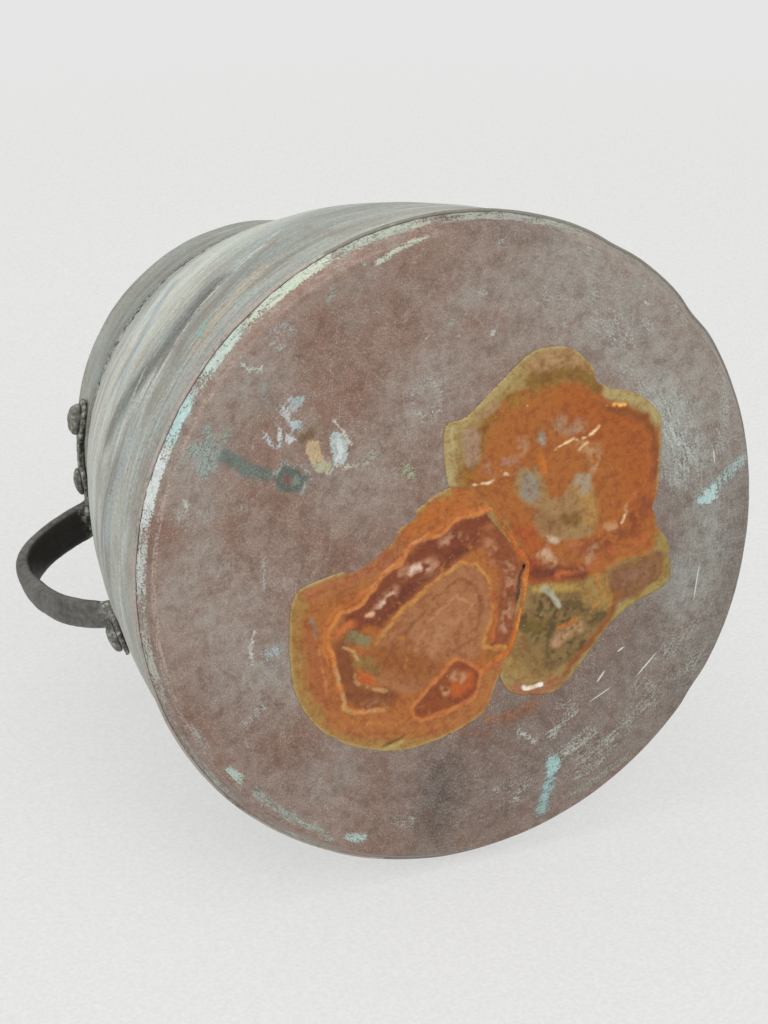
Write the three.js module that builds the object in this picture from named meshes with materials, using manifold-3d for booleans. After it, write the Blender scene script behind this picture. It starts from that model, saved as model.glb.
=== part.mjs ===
// Old copper pot: a tapering raised wall, a let-in base pan, a joined neck band and two forged ear handles.
// Millimetres, +Z up through the mouth, handles on +X and -X, resting face at z = 0.

import * as THREE from 'three';
import Module from 'manifold-3d';
import { mergeVertices } from 'three/addons/utils/BufferGeometryUtils.js';

const wasm = await Module();
wasm.setup();

// Clearance between pieces that touch.
const FIT = 0.3;
const ROUND_STEPS = 60;

// Wall: one raised copper sheet, widest at its flared lower edge.
const WALL_SHEET = 1.6;
const LIP_R = 125;
const LIP_Z = 8.5;
const LIP_FLARE = 1.9;
const LIP_FLARE_H = 4;
const SEAM_R = 91.7;
const SEAM_Z = 157.7;
const WALL_BULGE = 5;
const WALL_STEPS = 8;

// Base pan: dished a little under its middle, turned up sharply inside the wall.
const PAN_SHEET = 2;
const PAN_LAP = 12;
const PAN_CORNER_R = 2.3;
const PAN_CORNER_STEPS = 3;
const REST_RING_W = 9;
const HOLLOW_DEPTH = 1.8;
const HOLLOW_SLOPE_W = 17;

// Neck band: tucked inside the wall's upper edge, then drawn out almost level with it.
const NECK_SHEET = 1.8;
const NECK_LAP = 9;
const NECK_STEP = 0.7;
const RIM_R = 81.7;
const RIM_Z = 203.6;

// Forged ear handles.
const STRAP_T = 7;
const STRAP_TOP_W = 15;
const STRAP_FOOT_W = 11;
const STRAP_EDGE = 1.2;
const STRAP_STEPS = 18;
const GRIP_REACH = 27.5;
const GRIP_TOP_Z = 179;
const GRIP_FOOT_Z = 81;
const FOOT_T = 2;
const ARM_H = 8;
const LOBE_R = 8.5;
const INNER_RIVET_DEG = 10.5;
const OUTER_RIVET_DEG = 27.5;
const TONGUE_RIVET_DROP = 13.5;

// Rivets: a domed head outside, a hammered tail inside.
const SHANK_R = 2.4;
const HEAD_STEPS = 12;
const DOME_STEPS = 3;
const HEAD_EDGE = 0.15;
const OUTER_HEAD = { r: 6.3, h: 4.2 };
const INNER_HEAD = { r: 5.6, h: 2.6 };
const TONGUE_HEAD = { r: 6, h: 3.4 };
const TAIL_R = 4.2;
const TAIL_H = 1.3;
const TAIL_ROUND = 0.5;

// Poured resin patches under the worn base.
const PATCH_T = 0.9;
const PATCH_STEPS = 64;

function v2(x, y) {
  return new THREE.Vector2(x, y);
}

// A welded geometry whose faces look outward.
function weld(geometry) {
  geometry.deleteAttribute('normal');
  geometry.deleteAttribute('uv');
  const welded = mergeVertices(geometry, 1e-4);
  const place = welded.getAttribute('position');
  const index = Array.from(welded.getIndex().array);
  const kept = [];
  let volume = 0;
  const a = new THREE.Vector3();
  const b = new THREE.Vector3();
  const c = new THREE.Vector3();
  for (let i = 0; i < index.length; i += 3) {
    const [p, q, r] = index.slice(i, i + 3);
    if (p === q || q === r || r === p) continue;
    kept.push(p, q, r);
    a.fromBufferAttribute(place, p);
    b.fromBufferAttribute(place, q);
    c.fromBufferAttribute(place, r);
    volume += a.dot(b.cross(c));
  }
  if (volume < 0) kept.reverse();
  welded.setIndex(kept);
  return welded;
}

function solid(geometry) {
  const welded = weld(geometry);
  const mesh = new wasm.Mesh({
    numProp: 3,
    vertProperties: new Float32Array(welded.getAttribute('position').array),
    triVerts: new Uint32Array(welded.getIndex().array),
  });
  return new wasm.Manifold(mesh);
}

function skin(manifold) {
  const mesh = manifold.getMesh();
  const geometry = new THREE.BufferGeometry();
  geometry.setAttribute('position', new THREE.Float32BufferAttribute(mesh.vertProperties, 3));
  geometry.setIndex(new THREE.Uint32BufferAttribute(mesh.triVerts, 1));
  geometry.computeVertexNormals();
  return geometry;
}

// A ring or a disc turned about Z from an outline of (radius, height) points.
function turned(outline, steps = ROUND_STEPS) {
  const first = outline[0];
  const last = outline[outline.length - 1];
  const points = outline.map((p) => p.clone());
  if (first.x > 0 || last.x > 0) points.push(first.clone());
  return new THREE.LatheGeometry(points, steps).rotateX(Math.PI / 2);
}

// The outline moved sideways by a distance, to its outer side where it runs upward.
function moved(points, distance) {
  return points.map((p, i) => {
    const before = points[Math.max(i - 1, 0)];
    const after = points[Math.min(i + 1, points.length - 1)];
    const along = after.clone().sub(before).normalize();
    return v2(p.x + along.y * distance, p.y - along.x * distance);
  });
}

function arc(cx, cy, r, from, to, steps) {
  return Array.from({ length: steps + 1 }, (_, i) => {
    const angle = from + ((to - from) * i) / steps;
    return v2(cx + r * Math.cos(angle), cy + r * Math.sin(angle));
  });
}

// Wall.
const wallFoot = v2(LIP_R - LIP_FLARE, LIP_Z + LIP_FLARE_H);
const wallTop = v2(SEAM_R, SEAM_Z);
const wallRun = wallTop.clone().sub(wallFoot);
const wallOut = v2(wallRun.y, -wallRun.x).normalize();
const wallHalf = wallFoot.clone().add(wallTop).multiplyScalar(0.5);
const wallMiddle = wallHalf.addScaledVector(wallOut, 2 * WALL_BULGE);
const wallCurve = new THREE.QuadraticBezierCurve(wallFoot, wallMiddle, wallTop);
const wallFace = wallCurve.getPoints(WALL_STEPS);
const wallBack = moved(wallFace, -WALL_SHEET);
const lipBend = v2(LIP_R - 0.3 * LIP_FLARE, LIP_Z + 0.4 * LIP_FLARE_H);

function wallSolid() {
  const lipFace = [v2(LIP_R - WALL_SHEET, LIP_Z), v2(LIP_R, LIP_Z), lipBend];
  const lipBack = [v2(lipBend.x - WALL_SHEET, lipBend.y)];
  return turned([...lipFace, ...wallFace, ...wallBack.slice().reverse(), ...lipBack]);
}

// Radius of an upward-running outline at a height.
function radiusAt(points, z) {
  for (let i = 1; i < points.length; i += 1) {
    const [p, q] = [points[i - 1], points[i]];
    if (z <= q.y || i === points.length - 1) return p.x + ((q.x - p.x) * (z - p.y)) / (q.y - p.y);
  }
  return points[0].x;
}

// Base pan.
const panTopZ = LIP_Z + PAN_LAP;
const panSideLow = v2(radiusAt(wallBack, wallFoot.y) - FIT, wallFoot.y);
const panSideTop = v2(radiusAt(wallBack, panTopZ) - FIT, panTopZ);
const panCornerX = panSideLow.x - PAN_CORNER_R;
const restInnerR = panCornerX - REST_RING_W;
const hollowR = restInnerR - HOLLOW_SLOPE_W;

function panSolid() {
  const corner = arc(panCornerX, PAN_CORNER_R, PAN_CORNER_R, -Math.PI / 2, 0, PAN_CORNER_STEPS);
  const inner = arc(panCornerX, PAN_CORNER_R, PAN_CORNER_R - PAN_SHEET, 0, -Math.PI / 2, PAN_CORNER_STEPS);
  return turned([
    v2(0, HOLLOW_DEPTH),
    v2(hollowR, HOLLOW_DEPTH),
    v2(restInnerR, 0),
    ...corner,
    panSideLow,
    panSideTop,
    v2(panSideTop.x - PAN_SHEET, panTopZ),
    v2(panSideLow.x - PAN_SHEET, panSideLow.y),
    ...inner,
    v2(restInnerR, PAN_SHEET),
    v2(hollowR, HOLLOW_DEPTH + PAN_SHEET),
    v2(0, HOLLOW_DEPTH + PAN_SHEET),
  ]);
}

// Neck band.
const tuckTop = v2(SEAM_R - WALL_SHEET - FIT, SEAM_Z - FIT);
const tuckLow = v2(radiusAt(wallBack, SEAM_Z - NECK_LAP) - FIT, SEAM_Z - NECK_LAP);
const neckLow = v2(SEAM_R - NECK_STEP, SEAM_Z + 2 * FIT);
const neckTop = v2(RIM_R, RIM_Z - 0.5 * NECK_SHEET);
const neckFace = [neckLow, neckTop];

function neckSolid() {
  const backTop = v2(RIM_R - NECK_SHEET, neckTop.y);
  const backLowZ = SEAM_Z + NECK_SHEET;
  const backLow = v2(radiusAt(neckFace, backLowZ) - NECK_SHEET, backLowZ);
  return turned([
    tuckLow,
    tuckTop,
    v2(tuckTop.x, neckLow.y),
    neckLow,
    neckTop,
    v2(RIM_R - 0.25 * NECK_SHEET, RIM_Z),
    v2(RIM_R - 0.75 * NECK_SHEET, RIM_Z),
    backTop,
    backLow,
    v2(tuckTop.x - NECK_SHEET, tuckTop.y),
    v2(tuckLow.x - NECK_SHEET, tuckLow.y),
  ]);
}

// The pot's outside as a full body, grown by a distance, from which the handles' feet take their form.
function outside(distance) {
  const face = [...moved(wallFace, distance), ...moved(neckFace, distance)];
  const low = v2(face[0].x, LIP_Z);
  return solid(turned([v2(0, LIP_Z), low, ...face, v2(0, face[face.length - 1].y)]));
}

// A flat outline of (y, z) points pushed out along +X.
function pushed(shape, from, to) {
  const settings = { depth: to - from, bevelEnabled: false, curveSegments: 8 };
  const geometry = new THREE.ExtrudeGeometry(shape, settings);
  const turn = new THREE.Matrix4().makeBasis(
    new THREE.Vector3(0, 1, 0),
    new THREE.Vector3(0, 0, 1),
    new THREE.Vector3(1, 0, 0),
  );
  return solid(geometry.applyMatrix4(turn).translate(from, 0, 0));
}

function disc(y, z, r) {
  const shape = new THREE.Shape();
  shape.absarc(y, z, r, 0, 2 * Math.PI);
  return shape;
}

function box(y0, z0, y1, z1) {
  return new THREE.Shape([v2(y0, z0), v2(y1, z0), v2(y1, z1), v2(y0, z1)]);
}

// Seats of the rivets: a point on the pot's outside and the direction it faces.
function seat(face, z, degrees, sheet, head) {
  const i = Math.max(1, face.findIndex((p) => p.y >= z));
  const along = face[i].clone().sub(face[i - 1]).normalize();
  const turn = THREE.MathUtils.degToRad(degrees);
  const r = radiusAt(face, z);
  return {
    point: new THREE.Vector3(r * Math.cos(turn), r * Math.sin(turn), z),
    facing: new THREE.Vector3(along.y * Math.cos(turn), along.y * Math.sin(turn), -along.x),
    sheet,
    head,
  };
}

const tongueRivetZ = GRIP_FOOT_Z - TONGUE_RIVET_DROP;
const seats = [
  ['neck_outer_a', seat(neckFace, GRIP_TOP_Z, -OUTER_RIVET_DEG, NECK_SHEET, OUTER_HEAD)],
  ['neck_inner_a', seat(neckFace, GRIP_TOP_Z, -INNER_RIVET_DEG, NECK_SHEET, INNER_HEAD)],
  ['neck_inner_b', seat(neckFace, GRIP_TOP_Z, INNER_RIVET_DEG, NECK_SHEET, INNER_HEAD)],
  ['neck_outer_b', seat(neckFace, GRIP_TOP_Z, OUTER_RIVET_DEG, NECK_SHEET, OUTER_HEAD)],
  ['wall', seat(wallFace, tongueRivetZ, 0, WALL_SHEET, TONGUE_HEAD)],
];

function aimed(geometry, { point, facing }) {
  const turn = new THREE.Quaternion().setFromUnitVectors(new THREE.Vector3(0, 0, 1), facing);
  return geometry.applyQuaternion(turn).translate(point.x, point.y, point.z);
}

function rivetSolid(at) {
  const under = -(at.sheet + 2 * FIT);
  const top = FOOT_T + 2 * FIT;
  const { r, h } = at.head;
  const dome = Array.from({ length: DOME_STEPS }, (_, i) => {
    const angle = ((i + 1) / (DOME_STEPS + 1)) * (Math.PI / 2);
    return v2(r * Math.cos(angle), top + h * (HEAD_EDGE + (1 - HEAD_EDGE) * Math.sin(angle)));
  });
  const outline = [
    v2(0, under - TAIL_H),
    v2(TAIL_R - TAIL_ROUND, under - TAIL_H),
    v2(TAIL_R, under),
    v2(SHANK_R, under),
    v2(SHANK_R, top),
    v2(r, top),
    v2(r, top + HEAD_EDGE * h),
    ...dome,
    v2(0, top + h),
  ];
  return aimed(turned(outline, HEAD_STEPS), at);
}

function holeAt(at) {
  const r = SHANK_R + FIT;
  const length = 4 * (at.sheet + FOOT_T + at.head.h);
  const hole = new THREE.CylinderGeometry(r, r, length, HEAD_STEPS);
  return solid(aimed(hole.rotateX(Math.PI / 2), at));
}

const holes = seats.map(([, at]) => holeAt(at));
const turnedHoles = holes.map((hole) => hole.rotate([0, 0, 180]));

function drilled(body) {
  return [...holes, ...turnedHoles].reduce((left, hole) => left.subtract(hole), body);
}

// Strap of the ear handle, drawn from the side and pushed through its width.
function strapCurve() {
  const neckR = radiusAt(neckFace, GRIP_TOP_Z);
  const wallR = radiusAt(wallFace, GRIP_FOOT_Z);
  const gripR = radiusAt(wallFace, 0.5 * (SEAM_Z + GRIP_FOOT_Z)) + GRIP_REACH - 0.5 * STRAP_T;
  const span = GRIP_TOP_Z - GRIP_FOOT_Z;
  return new THREE.CatmullRomCurve3(
    [
      v2(neckR - STRAP_T, GRIP_TOP_Z + 0.01 * span),
      v2(neckR + 0.3 * (gripR - neckR), GRIP_TOP_Z - 0.02 * span),
      v2(neckR + 0.73 * (gripR - neckR), GRIP_TOP_Z - 0.11 * span),
      v2(gripR - 0.02 * GRIP_REACH, GRIP_TOP_Z - 0.28 * span),
      v2(gripR, GRIP_TOP_Z - 0.44 * span),
      v2(gripR - 0.09 * GRIP_REACH, GRIP_TOP_Z - 0.66 * span),
      v2(wallR + 0.33 * (gripR - wallR), GRIP_FOOT_Z + 0.13 * span),
      v2(wallR - 0.5 * STRAP_T, GRIP_FOOT_Z - 0.5 * STRAP_T),
    ].map((p) => new THREE.Vector3(p.x, p.y, 0)),
    false,
    'centripetal',
  );
}

function strapSolid() {
  const middle = strapCurve().getSpacedPoints(STRAP_STEPS).map((p) => v2(p.x, p.y));
  const half = 0.5 * STRAP_T - STRAP_EDGE;
  const outline = [...moved(middle, half), ...moved(middle, -half).reverse()];
  const width = STRAP_TOP_W - 2 * STRAP_EDGE;
  const side = new THREE.ExtrudeGeometry(new THREE.Shape(outline), {
    depth: width,
    bevelEnabled: true,
    bevelThickness: STRAP_EDGE,
    bevelSize: STRAP_EDGE,
    bevelSegments: 1,
  });
  const strap = solid(side.translate(0, 0, -0.5 * width).rotateX(Math.PI / 2));
  const far = 2 * LIP_R;
  const taper = new THREE.Shape([
    v2(-0.5 * STRAP_FOOT_W, 0),
    v2(0.5 * STRAP_FOOT_W, 0),
    v2(0.5 * STRAP_FOOT_W, GRIP_FOOT_Z),
    v2(0.5 * STRAP_TOP_W, SEAM_Z),
    v2(0.5 * STRAP_TOP_W, RIM_Z),
    v2(-0.5 * STRAP_TOP_W, RIM_Z),
    v2(-0.5 * STRAP_TOP_W, SEAM_Z),
    v2(-0.5 * STRAP_FOOT_W, GRIP_FOOT_Z),
  ]);
  return strap.intersect(pushed(taper, 0, far));
}

function handleSolid() {
  const far = 2 * LIP_R;
  const outerY = seats[3][1].point.y;
  const innerY = seats[2][1].point.y;
  const tongueTop = GRIP_FOOT_Z + 0.5 * STRAP_T;
  const plates = [
    box(-outerY, GRIP_TOP_Z - 0.5 * ARM_H, outerY, GRIP_TOP_Z + 0.5 * ARM_H),
    box(-innerY, GRIP_TOP_Z - 0.9 * LOBE_R, innerY, GRIP_TOP_Z + 0.9 * LOBE_R),
    disc(-outerY, GRIP_TOP_Z, LOBE_R),
    disc(-innerY, GRIP_TOP_Z, LOBE_R),
    disc(innerY, GRIP_TOP_Z, LOBE_R),
    disc(outerY, GRIP_TOP_Z, LOBE_R),
    disc(0, tongueRivetZ, LOBE_R),
    box(-0.5 * STRAP_FOOT_W, tongueRivetZ, 0.5 * STRAP_FOOT_W, tongueTop),
  ];
  const outline = plates.map((shape) => pushed(shape, 0, far)).reduce((a, b) => a.add(b));
  const feet = outside(FIT + FOOT_T).intersect(outline);
  const forged = feet.add(strapSolid()).subtract(outside(FIT));
  return holes.reduce((left, hole) => left.subtract(hole), forged);
}

// Resin patches, poured by hand: a closed smooth outline in the plane of the base, seen from above.
function patchSolid(corners) {
  const points = corners.map(([x, y]) => new THREE.Vector3(x, y, 0));
  const outline = new THREE.CatmullRomCurve3(points, true, 'centripetal').getSpacedPoints(PATCH_STEPS);
  const shape = new THREE.Shape(outline.slice(0, -1).map((p) => v2(p.x, p.y)));
  const puddle = new THREE.ExtrudeGeometry(shape, { depth: PATCH_T, bevelEnabled: false });
  return puddle.translate(0, 0, HOLLOW_DEPTH - FIT - PATCH_T);
}

// The two pours meet along a ridge, a little apart.
const LARGE_PATCH = [
  [3, -27], [8.5, -46.5], [18, -47], [31, -52], [48, -58], [57, -57], [65, -52.5], [70.5, -42.5], [73, -33],
  [83.5, -25], [89.5, -15], [89.5, -8], [83.5, 8.5], [76, 26], [78, 36.5], [76, 47], [71, 53], [50, 55],
  [21, 70.5], [9, 69], [-1, 62], [3.5, 51.5], [10.5, 44], [16.5, 34], [21, 27], [25.5, 15.5], [22.5, 4.5],
  [18.5, -7], [16, -18.5], [9.5, -26.5],
];
const SMALL_PATCH = [
  [8, -24], [14, -17.5], [16.5, -7], [20.5, 5], [23.5, 15.5], [19, 26], [14.5, 33], [8.5, 43], [1.5, 50],
  [-5, 57], [-13, 65], [-29, 66.5], [-45, 64], [-57, 58], [-69, 47.5], [-76, 35], [-78, 21.5], [-76, 10.5],
  [-72, -2], [-65, -14.5], [-52, -15], [-40, -13.5], [-24, -17.5], [-7, -24],
];

const copperWall = new THREE.MeshStandardMaterial({ color: 0xa9aca3, roughness: 0.6, metalness: 0.7 });
const copperBase = new THREE.MeshStandardMaterial({ color: 0x8f7a70, roughness: 0.6, metalness: 0.7 });
const copperNeck = new THREE.MeshStandardMaterial({ color: 0x8b8c82, roughness: 0.6, metalness: 0.7 });
const resin = new THREE.MeshStandardMaterial({ color: 0xa9602a, roughness: 0.25, metalness: 0 });
const iron = new THREE.MeshStandardMaterial({ color: 0x55534f, roughness: 0.7, metalness: 0.6 });

const pot = new THREE.Group();

function add(name, geometry, material) {
  const mesh = new THREE.Mesh(geometry, material);
  mesh.name = name;
  pot.add(mesh);
  return mesh;
}

add('body_wall', skin(drilled(solid(wallSolid()))), copperWall);
add('base_pan', skin(solid(panSolid())), copperBase);
add('neck_band', skin(drilled(solid(neckSolid()))), copperNeck);
add('resin_patch_large', skin(solid(patchSolid(LARGE_PATCH))), resin);
add('resin_patch_small', skin(solid(patchSolid(SMALL_PATCH))), resin);

const handle = skin(handleSolid());
for (const [side, turn] of [['right', 0], ['left', Math.PI]]) {
  add(`handle_${side}`, handle, iron).rotation.z = turn;
  for (const [place, at] of seats) {
    add(`rivet_${side}_${place}`, skin(solid(rivetSolid(at))), iron).rotation.z = turn;
  }
}

export default pot;
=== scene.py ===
"""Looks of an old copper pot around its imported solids.

The pot stands upright in the shared frame, mouth up, as it is used. It was photographed lying on its side,
so the camera is rolled and looks up at the base, and the pale floor stands at the pot's side.
"""

import math

import bmesh
import bpy
import numpy as np
from mathutils import Matrix, Vector, noise


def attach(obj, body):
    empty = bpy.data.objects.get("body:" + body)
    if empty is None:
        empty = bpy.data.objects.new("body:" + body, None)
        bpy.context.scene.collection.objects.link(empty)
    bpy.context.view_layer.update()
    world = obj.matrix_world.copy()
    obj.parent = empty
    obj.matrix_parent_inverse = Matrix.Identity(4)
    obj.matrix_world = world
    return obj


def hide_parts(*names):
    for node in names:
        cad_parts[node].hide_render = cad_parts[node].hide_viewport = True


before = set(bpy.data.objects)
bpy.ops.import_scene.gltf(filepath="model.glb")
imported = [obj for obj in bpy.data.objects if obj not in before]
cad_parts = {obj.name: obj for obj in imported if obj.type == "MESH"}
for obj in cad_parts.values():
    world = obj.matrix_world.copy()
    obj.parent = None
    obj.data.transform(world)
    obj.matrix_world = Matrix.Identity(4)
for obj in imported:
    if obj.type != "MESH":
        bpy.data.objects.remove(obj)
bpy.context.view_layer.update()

# Colour of the thin pale bloom on the copper.
HAZE = "#b5b8b0"
MM = 0.001
FULL_TURN = 2 * math.pi

# Sizes in mm, as in the solids or close to them.
LIP_R = 125
LIP_Z = 8.5
WALL_SHEET = 1.6
WALL_FOOT = (123.1, 12.5)
WALL_SWELL = (117.2, 87.2)
WALL_TOP = (91.7, 157.7)
NECK_SHEET = 1.8
NECK_FOOT = (91.0, 158.3)
NECK_TOP = (81.7, 202.7)
PAN_SHEET = 2
PAN_LAP_Z = 20.5
BASE_Z = 1.8
GRIP_TOP_Z = 179
TONGUE_RIVET_Z = 67.5
INNER_RIVET_DEG = 10.5
OUTER_RIVET_DEG = 27.5
TEETH_Z = 149
TEETH_H = 8
FOOT_T = 2.3
FIT = 0.3
FOOT_GAP = 0.1
WELD_GRID = 0.75
LOBE_R = 8.5
RIVET_STEPS = 48
ROUND_STEPS = 512
WALL_STEPS = 640
WEDGES = 16

# The way the photograph looks.
VIEW_WAY = Vector((0.25765, 0.42216, 0.86914))


def colour(code):
    """The linear colour of an sRGB hex value."""
    parts = [int(code[i : i + 2], 16) / 255 for i in (1, 3, 5)]
    return (*[c / 12.92 if c <= 0.04045 else ((c + 0.055) / 1.055) ** 2.4 for c in parts], 1)


def add(tree, kind, sockets=None, stops=None, out=None, **settings):
    """Adds one shader node with its settings, links and ramp stops, and gives the output asked for."""
    node = tree.nodes.new("ShaderNode" + kind)
    for name, value in settings.items():
        setattr(node, name, value)
    for key, value in (sockets or {}).items():
        live = [s for s in node.inputs if s.enabled]
        socket = live[key] if isinstance(key, int) else next(s for s in live if s.name == key)
        if isinstance(value, bpy.types.NodeSocket):
            tree.links.new(value, socket)
        else:
            socket.default_value = value
    if stops:
        ramp = node.color_ramp.elements
        ramp[0].position, ramp[0].color = stops[0][0], colour(stops[0][1])
        ramp[1].position, ramp[1].color = stops[-1][0], colour(stops[-1][1])
        for place, code in stops[1:-1]:
            ramp.new(place).color = colour(code)
    if out:
        return node.outputs[out]
    return next((s for s in node.outputs if s.enabled), None)


def new_material(name):
    """An empty material and its tree, with object coordinates in mm."""
    material = bpy.data.materials.new(name)
    material.use_nodes = True
    tree = material.node_tree
    tree.nodes.clear()
    metres = add(tree, "TexCoord", out="Object")
    place = add(tree, "VectorMath", {0: metres, "Scale": 1 / MM}, operation="SCALE")
    return material, tree, place


def speckle(tree, place, size, detail, roughness):
    """A noise pattern, with the size of its features in mm, or in the units of a stretched place."""
    sockets = {"Vector": place, "Scale": 1 / size, "Detail": detail, "Roughness": roughness}
    return add(tree, "TexNoise", sockets)


def ranged(tree, value, low, high, at_low=0, at_high=1):
    """A value moved from the range low to high onto another range, and held at its ends."""
    sockets = {"Value": value, "From Min": low, "From Max": high, "To Min": at_low, "To Max": at_high}
    return add(tree, "MapRange", sockets)


def mixed(tree, share, first, second, kind="RGBA"):
    """A mix of two colours or values: the first at a share of 0, the second at 1."""
    return add(tree, "Mix", {"Factor": share, "A": first, "B": second}, data_type=kind)


def times(tree, first, second):
    """The product of two values."""
    return add(tree, "Math", {0: first, 1: second}, operation="MULTIPLY")


def marks(tree, place, ovals):
    """The strongest of several fine oval marks: x, y, half length and half width in mm, turn in degrees."""
    total = None
    for x, y, length, width, turn in ovals:
        sockets = {
            "Vector": place,
            "Location": (x, y, 0),
            "Rotation": (0, 0, math.radians(turn)),
            "Scale": (length, width, 1000),
        }
        local = add(tree, "Mapping", sockets, vector_type="TEXTURE")
        mark = add(tree, "TexGradient", {"Vector": local}, gradient_type="SPHERICAL", out="Fac")
        total = mark if total is None else add(tree, "Math", {0: total, 1: mark}, operation="MAXIMUM")
    return total


def flecked(tree, skin, pattern, start, full, most, code, where=None):
    """Lays a colour over a finish, from none where the pattern is at start to the most at full."""
    share = ranged(tree, pattern, start, full, 0, most)
    if where is not None:
        share = times(tree, share, where)
    return mixed(tree, share, skin, colour(code))


def shaded(tree, skin, pattern, stops):
    """Darkens a finish by the tones that a pattern picks."""
    shade = add(tree, "ValToRGB", {"Fac": pattern}, stops=stops)
    return add(tree, "Mix", {"Factor": 1.0, "A": skin, "B": shade}, data_type="RGBA", blend_type="MULTIPLY")


def stains_with_painted_light(tree, skin, grain, patches):
    """Lays a thin veil over a finish, uneven by patches, then the painted stains, with painted highlights
    and shadows among them, torn by the grain.

    Gives the colour and how far the stains cover it.
    """
    veil = add(tree, "Attribute", attribute_name="veil", out="Fac")
    uneven = ranged(tree, patches, 0.42, 0.58, 0.4, 1.6)
    veil = times(tree, veil, uneven)
    skin = mixed(tree, veil, skin, colour(HAZE))
    tone = add(tree, "Attribute", attribute_name="stain_and_light", out="Color")
    cover = add(tree, "Attribute", attribute_name="stain_and_light", out="Alpha")
    dark = add(tree, "Attribute", attribute_name="shade", out="Fac")
    uneven = ranged(tree, grain, 0.4, 0.6, 1.3, 0.7)
    dark = times(tree, dark, uneven)
    dark = add(tree, "Math", {0: 1.0, 1: dark}, operation="SUBTRACT")
    skin = add(tree, "VectorMath", {0: skin, "Scale": dark}, operation="SCALE")
    lit = ranged(tree, grain, 0.4, 0.6, 0.8, 1.12)
    tone = add(tree, "VectorMath", {0: tone, "Scale": lit}, operation="SCALE")
    broken = add(tree, "Math", {0: grain, 1: 5.0, 2: -2.5}, operation="MULTIPLY_ADD")
    broken = add(tree, "Math", {0: broken, 1: cover}, operation="ADD")
    # A dark rim round thick stains: painted shadow under the edges of crusts and flakes, with dark pits.
    thick = ranged(tree, cover, 0.5, 0.8, 0, 0.5)
    skin = flecked(tree, skin, broken, 0.16, 0.36, 1.0, "#51473f", thick)
    mask = ranged(tree, broken, 0.34, 0.66, 0, 0.9)
    here = ranged(tree, cover, 0, 0.14)
    mask = times(tree, mask, here)
    dense = ranged(tree, cover, 0.36, 0.74, 0.5, 1)
    mask = times(tree, mask, dense)
    return mixed(tree, mask, skin, tone), mask


def relief(tree, layers, strength, depth):
    """Fine relief from several patterns, each with its weight; the depth is in mm."""
    height = 0.0
    for pattern, weight in layers:
        height = add(tree, "Math", {0: pattern, 1: weight, 2: height}, operation="MULTIPLY_ADD")
    return add(tree, "Bump", {"Strength": strength, "Distance": depth * MM, "Height": height})


def finished(material, tree, sockets):
    """Closes a material with its shader."""
    shader = add(tree, "BsdfPrincipled", sockets)
    add(tree, "OutputMaterial", {"Surface": shader})
    return material


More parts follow.
